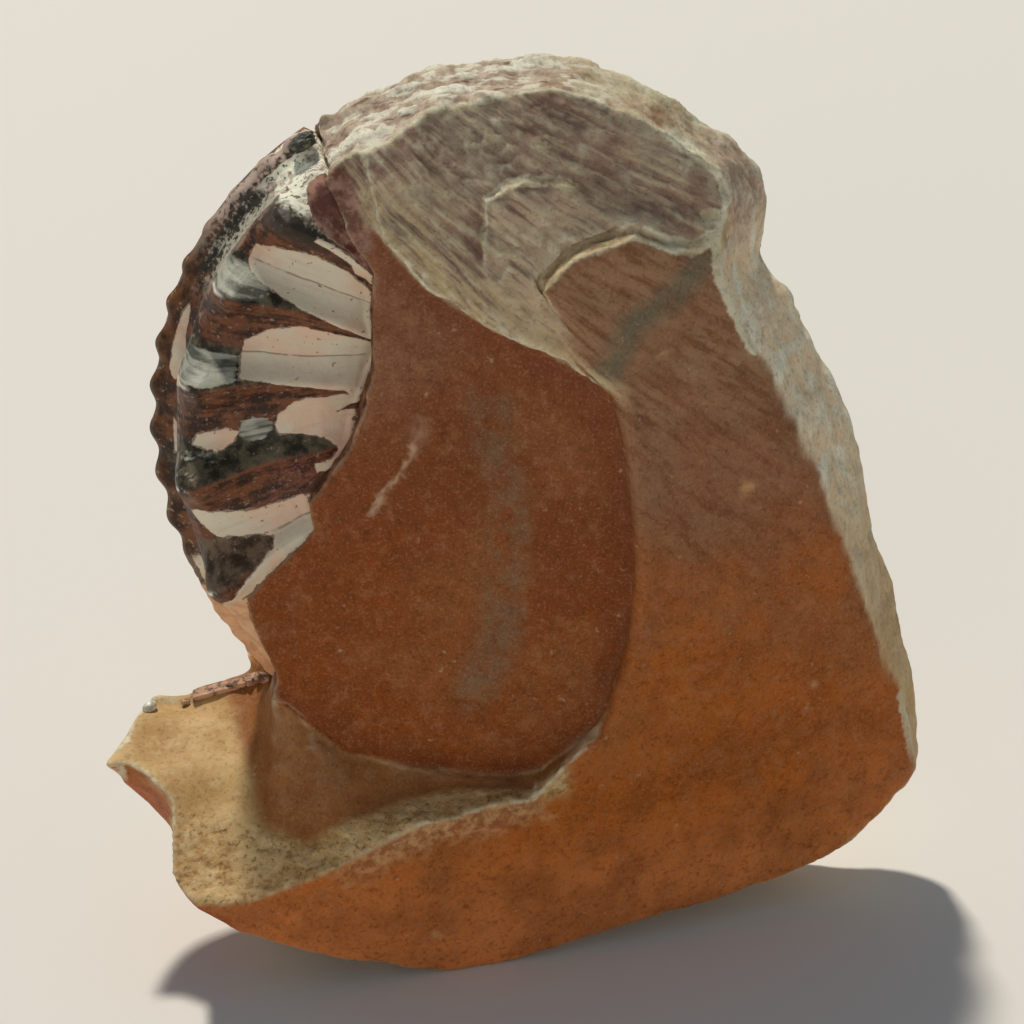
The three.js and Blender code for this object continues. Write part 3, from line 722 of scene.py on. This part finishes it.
# From the keel down its side: radius, y, the height of a rib and of its tubercle, in mm.
SIDE = np.array(
    [
        (KEEL_RADIUS, 0, 0, 0), (37.1, -0.9, 0, 0), (35.5, -1.7, 0, 0), (34.7, -3.2, 0, 0),
        (34.9, -5.2, 0.4, 0.6), (34.0, -6.7, 0.9, 1.5), (32.4, -7.4, 1.2, 1.6),
        (30.4, -7.6, 1.3, 0.6), (27.5, -7.6, 1.1, 0), (24.5, -7.4, 0.9, 0), (21.5, -7.0, 0.7, 0),
        (18.5, -6.0, 0.4, 0), (16.0, -4.2, 0, 0), (15.2, -1.0, 0, 0),
    ]
)  # fmt: skip
# Its far side, which is in the stone: radius and y.
BACK = np.array([(14.9, 2.5), (25, 2.5), (35.2, 2.5), (37.2, 1.2)])
side_length = np.append(0, np.cumsum(np.hypot(*np.diff(SIDE[:, :2], axis=0).T)))

# Where the stone begins: the turn, and the length down the side.
STONE_EDGE = np.array(
    [
        (138, 8), (141, 10), (143, 17), (146, 19.5), (150, 20.5), (155, 21.8), (160, 22.7),
        (166.5, 24.5), (171, 26), (189, 24.3), (195, 23.7), (200.5, 23.3), (202, 21.5),
        (205, 18.4), (213, 18.3), (214, 16), (216, 10.5), (222, 9.5), (228, 8.5), (231, 6),
        (237, 5),
    ]
)  # fmt: skip

# Where a thin skin of the stone laps over its start: the turn, and the length down the side.
STONE_LAPS = [(139.5, 7.5), (141.5, 9.5), (143.2, 12), (144.2, 15.5), (146, 19.5), (148, 30)]

# The chalky patches, as outlines of turn and length down the side.
CHALK = [
    [(153.5, 8.6), (150.5, 12), (149.5, 14), (149.7, 18), (151, 20), (152.6, 22), (160, 24),
     (168, 27), (168, 24.6), (165.1, 22), (163.6, 20), (162.3, 18), (160.3, 14), (158.2, 10),
     (156.5, 8.8)],
    [(144.3, 12.5), (144.8, 16), (146.5, 20), (149.5, 21), (149.3, 18.5), (147.3, 17.5),
     (145.5, 12.5)],
    [(175.4, 12.6), (171.5, 12.4), (168, 14.5), (166.3, 17), (166.6, 21), (167.3, 23.4), (171, 27),
     (187, 27), (188.5, 24.3), (183.6, 23.3), (180.8, 20), (179.2, 16.5), (177.6, 13)],
    [(189, 9.4), (191, 8.9), (192.3, 11.5), (191.3, 13), (189.6, 13.5), (188.4, 12.3)],
    [(187.3, 17), (189.5, 16.7), (191.3, 17), (192.2, 18.5), (194, 20.6), (196, 21.8), (199, 22.4),
     (200.8, 21.6), (200.3, 20), (203, 20), (203, 25), (190, 25), (189.5, 22.6), (187.5, 25.5),
     (184.5, 23.2), (184.3, 21), (183.7, 19.5), (185, 18.3)],
    [(201.5, 8), (204.3, 8.6), (207, 10), (209, 13.5), (210.2, 14.8), (211.5, 14.4),
     (213.3, 12), (214.3, 10.6), (218, 10.3), (216, 17), (214, 20), (205.8, 19), (204.7, 14),
     (202, 10), (201, 9)],
    [(215.7, 1.9), (217.5, -2), (238, -2), (238, 12), (222, 12), (214.5, 11), (216, 7), (217.5, 5)],
    [(170.7, 2.6), (173, 2.1), (178, 2), (182, 2.1), (183.8, 2.8), (183, 4.5), (181.5, 6.5),
     (180, 8), (178.5, 7.6), (179.5, 4.5), (176, 3.6), (173, 3.3)],
    [(189.7, 3), (195.6, 2.8), (195, 4.4), (191, 5)],
    [(211.4, 1.4), (215.7, 1.6), (215.4, 2.5), (212, 2.6)],
    [(209.8, 6), (212.2, 5.8), (212, 7.8), (210.2, 8)],
]  # fmt: skip


def softened(values, length, spread):
    """Rounds off a curve that is given at side_length's points, and reads it off at a length."""
    steps = np.arange(-1, side_length[-1] + 1, 0.05)
    width = int(spread / 0.05)
    window = np.hanning(width + 2)[1:-1]
    dense = np.interp(steps, side_length, values)
    dense = np.convolve(np.pad(dense, width, "edge"), window / window.sum(), "same")[width:-width]
    return np.interp(length, steps, dense)


turns = np.linspace(*WHORL_ENDS, 400)
lengths = np.arange(0, FINE_LENGTH, 0.15)
lengths = np.append(lengths, np.arange(FINE_LENGTH, side_length[-1], 0.6))
turn, length = np.meshgrid(turns, lengths, indexing="ij")
radius, y, rib, tubercle = (softened(column, length, 1.1) for column in SIDE.T)
size = np.exp(GROWTH * (np.radians(turn) - math.pi))

# A rib leans on towards the keel, and again towards the coil's middle. Its upper side is the
# steeper.
lean = 0.75 * np.clip(7.5 - length, 0, 6) + 0.05 * np.clip(length - 15, 0, 12) ** 2
place = (turn - lean - FIRST_RIB) / RIB_PITCH
from_rib = place - np.clip(np.round(place), 0, RIBS - 1)
lower_width = 0.3 - 0.1 * ramp(length, 9, 16)
ridge = np.exp(-(np.abs(from_rib / np.where(from_rib < 0, 0.16, lower_width)) ** 1.7))
knob = np.exp(-(np.abs(from_rib / np.where(from_rib < 0, 0.15, 0.25)) ** 2))
height = (1.05 + 0.35 * ramp(length, 8, 11)) * rib * ridge + 1.35 * tubercle * knob
over_side = np.stack([turn, length], -1)
chalk = np.max([within(outline, over_side, (0.5, 1)) for outline in CHALK], axis=0)
edge = np.interp(turn, *STONE_EDGE.T)
lapped = ramp(length - np.interp(turn, *np.array(STONE_LAPS).T), -0.4, 0.4)
height += 0.3 * lapped * ramp(turn, 139, 141)
beads = np.cos(2 * math.pi * BEADS_PER_RIB * (turn - FIRST_RIB) / RIB_PITCH)
beads = beads * (1 - ramp(length, 1.2, 2.2))
beads *= (0.16 + 0.19 * ramp(turn, 152, 172)) * (1 - ramp(turn, 208, 214))
height += 0.1 * ramp(chalk, -0.1, 0.15) * ramp(length, 2, 3)

radius = radius * size + beads + 0.6 * tubercle * knob
y = y * np.sqrt(size) - height - BURIED * ramp(length - edge, -0.6, 0.2)
angle = np.radians(turn)
place = np.stack([radius * np.cos(angle), y, radius * np.sin(angle)], -1).reshape(-1, 3)
sunk = 1 - ramp(turn, WHORL_ENDS[0], 139.5)
worn_ends = 1 - ramp(turn, 143, 147) * (1 - ramp(turn, 209, 215) * (1 - ramp(length, 4, 7)))
rough = crumble(place, 1.6, 81, 4).reshape(turn.shape)
y = y - 0.07 * rough - 0.3 * worn_ends * rough + 0.7 * sunk
radius = radius - 0.5 * sunk
radius = radius + 0.45 * worn_ends * crumble(place, 2.4, 85, 3).reshape(turn.shape)
side = np.stack([radius * np.cos(angle), y, radius * np.sin(angle)], -1)
size = size[:, : len(BACK)]
radius = BACK[:, 0] * size
angle = angle[:, : len(BACK)]
far_side = np.stack([radius * np.cos(angle), BACK[:, 1] + 0 * radius, radius * np.sin(angle)], -1)
rings = np.concatenate([side, far_side], 1)

rows, columns = rings.shape[:2]
points = rings.reshape(-1, 3)
whorl_form = bmesh.new()
corners = [whorl_form.verts.new(p) for p in points * MM + np.array(COIL)]
for row in range(rows - 1):
    for k in range(columns):
        a, b = row * columns + k, row * columns + (k + 1) % columns
        whorl_form.faces.new([corners[i] for i in (a, b, b + columns, a + columns)])
whorl_form.faces.new(corners[:columns][::-1])
whorl_form.faces.new(corners[-columns:])
whorl_mesh = bpy.data.meshes.new("whorl")
bmesh.ops.recalc_face_normals(whorl_form, faces=whorl_form.faces)
whorl_form.to_mesh(whorl_mesh)
whorl_form.free()
shade_smooth(whorl_mesh)

# Where on a rib it is olive, and where a sheen and a glint are painted.
upper = ramp(from_rib, -0.42, -0.26) * (1 - ramp(from_rib, -0.06, 0.04))
# Painted reflection: a pale sheen where a rib's upper side mirrors the sky, on a partly paler
# shell.
painted_sheen = ramp(from_rib, -0.34, -0.2) * (1 - ramp(from_rib, -0.07, 0.03))
painted_sheen *= ramp(length, 4.4, 5.6) * (1 - ramp(length, 11, 14.5))
painted_sheen *= np.interp(turn, [150, 160, 178, 192, 202], [0.4, 1, 0.8, 0.5, 0])
# A patch of painted sheen near turn 189.5.
off_sheen_spot = ramp(np.hypot((turn - 189.5) / 2.8, (length - 15) / 2), 0.2, 1.2)
# Painted highlight: a glint along the crest of each tubercle.
painted_glint = np.exp(-(((from_rib - 0.01) / 0.02) ** 2))
painted_glint = painted_glint * ramp(length, 6.4, 7.4) * (1 - ramp(length, 8.6, 9.6)) * (turn > 150)
# What the shell's material reads at each point.
masks = {
    "turn": turn,
    "length": length,
    "chalk": chalk,
    "upper": upper,
    "painted_sheen": np.maximum(painted_sheen, 1 - off_sheen_spot * 0.8),
    "painted_glint": painted_glint,
    "lapped": lapped,
    "to_stone": edge - length,
}
for name, values in masks.items():
    set_mask(whorl_mesh, name, np.pad(values, ((0, 0), (0, len(BACK))), "edge").ravel())
whorl = add_piece("whorl", whorl_mesh)
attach(whorl, "root")
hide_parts("ammonite_shell")

# Its finish, laid out by the turn and by the length down its side.
f = Finish("mineral shell")
length = f.mask("length")
turn = f.mask("turn")
wobble = f.noise(0.9, 4, 0.65) - 0.5
mottle = f.noise(1.8, 5, 0.65, shift=4)
cloud = f.noise(4, 3, 0.5, shift=31)
speck = f.noise(0.5, 2, 0.5, shift=9)
grain = f.noise(0.3, 3, 0.6, shift=2)
stipple = f.noise(0.5, 3, 0.6, shift=57) + 0.5 * mottle
lines = f.streaks(turn, length * 0.15, 0.8, 4.0)

# The dark mineral: brown below each rib, and olive on a rib's upper side, with a painted sheen.
CLOUD_BROWN, GRAIN_TAN, GLINT_HIGHLIGHT_WHITE = (0.12, 0.045, 0.028), (0.32, 0.21, 0.15), (0.85, 0.85, 0.76)
GEM_RED, SHOULDER_TAN = (0.26, 0.1, 0.1), (0.42, 0.34, 0.26)
FIRST_RIB_BLACK, SPARK_TAN = (0.03, 0.024, 0.018), (0.42, 0.3, 0.24)
CRUST_WHITE, CRUST_BLACK = (0.88, 0.88, 0.72), (0.05, 0.05, 0.035)
brown = f.step(mottle + 0.6 * lines, 0.68, 0.92)
brown = f.mix(brown, (0.035, 0.014, 0.008), (0.18, 0.064, 0.026))
brown = f.mix(f.step(cloud, 0.52, 0.66) * 0.4, brown, CLOUD_BROWN)
brown = f.mix(f.step(grain, 0.58, 0.72) * 0.5, brown, GRAIN_TAN)
olive = f.mix(f.step(mottle, 0.4, 0.62), (0.022, 0.017, 0.01), (0.12, 0.1, 0.06))
tail_olive = f.mix(f.step(mottle, 0.38, 0.6), (0.06, 0.03, 0.015), (0.2, 0.13, 0.08))
olive = f.mix(f.step(turn, 200, 208) * 0.7, olive, tail_olive)
dark = f.mix(f.step(f.mask("upper") + 0.9 * wobble, 0.3, 0.7), brown, olive)
# Painted reflection: the sheen's greys, partly a paler shell.
painted_sheen = f.mix(f.step(lines + 0.5 * cloud, 0.62, 0.82), (0.08, 0.09, 0.07), (0.45, 0.46, 0.38))
painted_sheen_share = f.step(f.mask("painted_sheen") + 0.8 * wobble + 0.5 * (lines - 0.5), 0.42, 0.6)
dark = f.mix(painted_sheen_share * 0.9, dark, painted_sheen)
# Painted highlight: the white glint on each tubercle's crest.
dark = f.mix(f.mask("painted_glint") * f.step(mottle, 0.35, 0.5), dark, GLINT_HIGHLIGHT_WHITE)
gems = f.step(turn, 196, 199) * (1 - f.step(turn, 204, 207)) * f.step(length, 15, 16.5)
dark = f.mix(gems * f.step(grain, 0.5, 0.62) * 0.6, dark, GEM_RED)

# Between keel and tubercles it is gritty at its start, and a worn line runs along its shoulder.
beside_keel = (1 - f.step(length + wobble, 6.2, 6.8)) * (1 - f.step(turn + 3 * wobble, 160, 172))
grit = f.step(stipple + 0.16 * f.step(length, 3, 5), 0.71, 0.94)
grit = f.mix(grit, (0.035, 0.03, 0.022), (0.46, 0.43, 0.35))
dark = f.mix(beside_keel, dark, grit)
shoulder = 1 - f.step(abs(length + wobble - 7), 0.1, 0.4)
shoulder = shoulder * (1 - f.step(turn, 196, 204)) * f.step(mottle + 0.4 * wobble, 0.44, 0.58)
dark = f.mix(shoulder * 0.55, dark, SHOULDER_TAN)
first_rib = f.step(turn + 2 * wobble, 142.5, 144) * (1 - f.step(turn + 2 * wobble, 147, 149.5))
first_rib = first_rib * f.step(length, 6.5, 7.5) * (1 - f.step(length + 2 * wobble, 13, 15.5))
dark = f.mix(first_rib * 0.9, dark, FIRST_RIB_BLACK)
sparks = f.step(f.noise(0.6, 2, 0.5, shift=51), 0.63, 0.72)
dark = f.mix(sparks * 0.5, dark, SPARK_TAN)

# Its start, under the crown, is crusted with grains of white and black.
towards_keel = 7.5 - 7.5 * f.step(length, -4, 11)
start = 1 - f.step(turn + 4 * wobble - 1.3 * towards_keel, 141.8, 143.6)
crusted = f.mix(f.step(mottle, 0.38, 0.56), (0.4, 0.31, 0.26), (0.64, 0.58, 0.47))
white_grains = f.step(f.noise(1.1, 4, 0.6, (2.2, 1, 0.8), shift=52), 0.46, 0.54)
crusted = f.mix(white_grains, crusted, CRUST_WHITE)
crusted = f.mix(f.step(speck + 0.3 * wobble, 0.58, 0.66) * 0.8, crusted, CRUST_BLACK)
dark = f.mix(start, dark, crusted)

# The chalky infill, pinkish in the hollows and orange at the tail, where growth lines cross it.
# Each line is given by its turn and by the lengths down the side between which it runs.
GROWTH_LINES = [(155.8, 10, 22), (173.4, 12, 24), (209.5, 15.5, 19)]
GROWTH_LINES += [(219.5, 3, 9), (225, 3, 8), (230, 3, 8)]
BY_LINE_GREY, LINE_BROWN = (0.6, 0.55, 0.43), (0.12, 0.07, 0.05)
STREAK_BROWN, PIT_BROWN = (0.5, 0.36, 0.27), (0.2, 0.09, 0.05)
white = f.mix(f.step(cloud, 0.4, 0.62), (0.74, 0.53, 0.39), (0.7, 0.62, 0.48))
for at, first, last in GROWTH_LINES:
    here = f.step(length, first - 1, first) * (1 - f.step(length, last, last + 1))
    off = turn + 1.6 * (cloud - 0.5) - at
    greyer = f.step(off, -0.3, 0.3) * (1 - f.step(off, 5, 8)) * here
    white = f.mix(greyer * 0.8, white, BY_LINE_GREY)
    line = here * (1 - f.step(abs(off), 0.08, 0.3))
    white = f.mix(line * f.step(mottle, 0.3, 0.5) * 0.6, white, LINE_BROWN)
white = f.mix(f.step(lines + 0.4 * mottle, 0.7, 0.95) * 0.35, white, STREAK_BROWN)
white = f.mix(f.step(speck, 0.68, 0.73) * 0.75, white, PIT_BROWN)
tail = f.mix(f.step(mottle, 0.4, 0.6), (0.56, 0.24, 0.09), (0.74, 0.4, 0.2))
white = f.mix(f.step(turn, 213, 218) * 0.8, white, tail)

# All of it together, with the stone that laps over it and the keel along its outer edge.
CHALK_EDGE_STAIN_AND_SHADE, NICK_BROWN, KEEL_TAN = (0.16, 0.08, 0.045), (0.12, 0.05, 0.03), (0.4, 0.35, 0.24)
is_chalk = f.step(f.mask("chalk") + 0.85 * wobble, -0.05, 0.05)
color = f.mix(is_chalk, dark, white)
# Dark brown inside the chalk's edges: partly stain, partly painted shade where the ribs stand over
# it.
rimmed = is_chalk * (1 - f.step(f.mask("chalk") + 1.1 * (mottle - 0.5), 0.0, 0.14))
color = f.mix(rimmed * 0.8, color, CHALK_EDGE_STAIN_AND_SHADE)
nicks = f.step(f.mask("to_stone") + 2.4 * (speck - 0.5) + 1.2 * wobble, -0.5, -0.2)
color = f.mix((1 - nicks) * 0.8 * (1 - start), color, NICK_BROWN)
lapping = f.mix(f.step(mottle, 0.42, 0.62), (0.15, 0.06, 0.042), (0.34, 0.19, 0.14))
color = f.mix(f.step(f.mask("lapped") + 1.8 * wobble, 0.4, 0.7), color, lapping)
keel_color = f.mix(f.step(mottle, 0.4, 0.62), (0.035, 0.012, 0.004), (0.15, 0.058, 0.018))
keel_color = f.mix(f.step(speck + 0.3 * mottle, 0.78, 0.86) * 0.6, keel_color, KEEL_TAN)
keel_start = 1 - f.step(turn + 4 * wobble, 150, 168)
keel_crust = f.step(stipple - 0.2 * f.step(length, 0.8, 2), 0.52, 0.76)
keel_crust = f.mix(keel_crust, (0.06, 0.045, 0.036), (0.52, 0.4, 0.33))
keel_color = f.mix(keel_start, keel_color, keel_crust)
keel = 1 - f.step(length + 0.6 * wobble, 2.0, 2.2)
color = f.mix(keel * (1 - f.step(turn + 3 * wobble, 210, 213)), color, keel_color)

pitted = f.noise(0.7, 3, 0.6, shift=14)
relief = f.bump(grain, 0.06, 0.35)
relief = f.bump(pitted, 0.2, 0.5 - 0.3 * is_chalk, relief)
relief = f.bump(mottle, 0.35, 0.3, relief)
gloss = 0.54 + 0.14 * is_chalk + 0.3 * (mottle - 0.5) + 0.3 * start
f.surface.inputs["Specular IOR Level"].default_value = 0.3
f.wear(whorl, Base_Color=color, Roughness=gloss, Normal=relief)


# ---- the splinters on the ledge ----
# Splinters of the next stretch of whorl, thin, dark brown and chalky at their corners. They were
# left when that stretch broke away, and are grown on to the stone along the ledge's back edge.

# Each is given by its middle, its size, how it is turned about Z and how it is tipped about Y, in
# mm and degrees.
SPLINTERS = [
    ((-33.0, 2.0, -37.95), (5.2, 1.9, 0.5), 6, -14),
    ((-30.9, 1.8, -37.2), (2.2, 1.5, 0.55), -20, -20),
    ((-29.6, 1.5, -36.6), (1.6, 1.2, 0.8), 30, -8),
    ((-28.5, 0.9, -36.1), (1.5, 1.2, 0.8), 0, 15),
    ((-36.2, 1.7, -39.3), (0.8, 0.6, 0.5), 12, 0),
]


def grown_lump(form, middle, size, turned, tipped, squareness, roughness, seed):
    """Adds a closed lump with worn corners to a form."""
    made = bmesh.ops.create_icosphere(form, subdivisions=5, radius=1)["verts"]
    shape = np.array([v.co for v in made])
    shape = np.sign(shape) * np.abs(shape) ** (1 - squareness)
    shape /= np.abs(shape).max(0)
    shape *= 1 + roughness * crumble(shape * 2, 1.5, seed, 4)[:, None]
    shape *= np.array(size) / 2
    turned, tipped = math.radians(turned), math.radians(tipped)
    x, y, z = shape.T
    x, z = x * math.cos(tipped) + z * math.sin(tipped), z * math.cos(tipped) - x * math.sin(tipped)
    x, y = x * math.cos(turned) - y * math.sin(turned), x * math.sin(turned) + y * math.cos(turned)
    shape = (np.stack([x, y, z], 1) + middle) * MM + np.array(COIL)
    for corner, place in zip(made, shape):
        corner.co = place


def as_piece(form, name):
    """Makes a smooth piece of a form, which rides the nodule."""
    mesh = bpy.data.meshes.new(name)
    form.to_mesh(mesh)
    form.free()
    shade_smooth(mesh)
    piece = add_piece(name, mesh)
    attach(piece, "root")
    return piece


form = bmesh.new()
for k, splinter in enumerate(SPLINTERS):
    grown_lump(form, *splinter, squareness=0.65, roughness=0.16, seed=70 + k)
splinters = as_piece(form, "splinters")
f = Finish("shell splinters")
patchy = f.noise(0.9, 4, 0.6)
CORNER_CHALK = (0.6, 0.5, 0.4)
color = f.mix(f.step(patchy, 0.45, 0.6), (0.5, 0.27, 0.15), (0.09, 0.045, 0.025))
chalky = f.step(f.noise(0.5, 3, 0.6, shift=6), 0.62, 0.7)
color = f.mix(chalky * 0.7, color, CORNER_CHALK)
relief = f.bump(patchy, 0.15, 0.5)
f.wear(splinters, Base_Color=color, Roughness=0.4 + 0.3 * patchy, Normal=relief)


# ---- the dark fleck ----
# A fleck of dark, glassy mineral where the whorl goes under the crown. It is grown into the corner
# between the two.

FLECK = ((-23.3, -1.2, 21.5), (2.4, 2.0, 1.3), 10, -28)  # its middle, size, turn and tip

form = bmesh.new()
grown_lump(form, *FLECK, squareness=0.3, roughness=0.3, seed=95)
fleck = as_piece(form, "dark_fleck")
f = Finish("dark mineral")
patchy = f.noise(0.7, 4, 0.6)
color = f.mix(f.step(patchy, 0.45, 0.65), (0.02, 0.022, 0.014), (0.14, 0.15, 0.09))
relief = f.bump(patchy, 0.15, 0.5)
f.wear(fleck, Base_Color=color, Roughness=0.3 + 0.4 * patchy, Normal=relief)


# ---- the calcite bead ----
# A small white bead of calcite on the ledge's far corner, where it grew on the stone after the
# break. It is smooth and a little glossy.

BEAD = ((-39.7, 0.9, -39.4), (1.5, 1.2, 1.05), 20, -20)  # its middle, size, turn and tip

form = bmesh.new()
grown_lump(form, *BEAD, squareness=0.0, roughness=0.1, seed=90)
bead = as_piece(form, "calcite_bead")
f = Finish("calcite")
cloudy = f.noise(0.6, 3, 0.5)
color = f.mix(f.step(cloudy, 0.4, 0.6), (0.42, 0.4, 0.32), (0.8, 0.78, 0.66))
relief = f.bump(cloudy, 0.08, 0.4)
f.wear(bead, Base_Color=color, Roughness=0.25 + 0.2 * cloudy, Normal=relief)


# ---- the light, the floor and the camera ----
# The nodule stands on a plain pale floor. A large lamp stands behind it, high and to its left, and
# a weak one in front. Sizes here are in metres.

scene = bpy.context.scene
scene.view_settings.view_transform = "Standard"
floor_mesh = bpy.data.meshes.new("floor")
floor_mesh.from_pydata([(-3, -3, 0), (3, -3, 0), (3, 3, 0), (-3, 3, 0)], [], [(0, 1, 2, 3)])
floor = add_piece("floor", floor_mesh)
paper = bpy.data.materials.new("floor")
paper.use_nodes = True
paper.node_tree.nodes["Principled BSDF"].inputs["Base Color"].default_value = (0.8, 0.78, 0.74, 1)
paper.node_tree.nodes["Principled BSDF"].inputs["Roughness"].default_value = 0.9
floor_mesh.materials.append(paper)

world = bpy.data.worlds.new("room")
scene.world = world
world.use_nodes = True
world.node_tree.nodes["Background"].inputs["Color"].default_value = (0.66, 0.84, 1.0, 1)
world.node_tree.nodes["Background"].inputs["Strength"].default_value = 0.2

AIM = COIL + Vector((-0.004, 0, -0.0174))  # what the lamps and the camera look at
CAMERA_AWAY = 0.45
CAMERA_TILT = math.radians(27)


def lamp(name, color, watts, size, turn, height, distance):
    """A square lamp. Its turn is measured from straight behind the nodule towards its left."""
    light = bpy.data.lights.new(name, "AREA")
    light.color = color
    light.energy = watts
    light.size = size
    placed = bpy.data.objects.new(name, light)
    turn, height = math.radians(turn), math.radians(height)
    way = Vector(
        (-math.sin(turn) * math.cos(height), math.cos(turn) * math.cos(height), math.sin(height))
    )
    placed.location = AIM + distance * way
    placed.rotation_mode = "QUATERNION"
    placed.rotation_quaternion = way.to_track_quat("Z", "Y")
    scene.collection.objects.link(placed)


lamp("key", (1.0, 0.92, 0.8), watts=76, size=0.26, turn=28, height=62, distance=3)
lamp("fill", (1.0, 0.87, 0.74), watts=2.2, size=0.5, turn=170, height=4, distance=0.9)

lens = bpy.data.cameras.new("camera")
lens.lens = 164.5
lens.sensor_width = 36
lens.clip_start = 0.01
camera = bpy.data.objects.new("camera", lens)
way = Vector((0, -math.cos(CAMERA_TILT), math.sin(CAMERA_TILT)))
camera.location = AIM + CAMERA_AWAY * way
camera.rotation_euler = (math.pi / 2 - CAMERA_TILT, 0, 0)
scene.collection.objects.link(camera)
scene.camera = camera
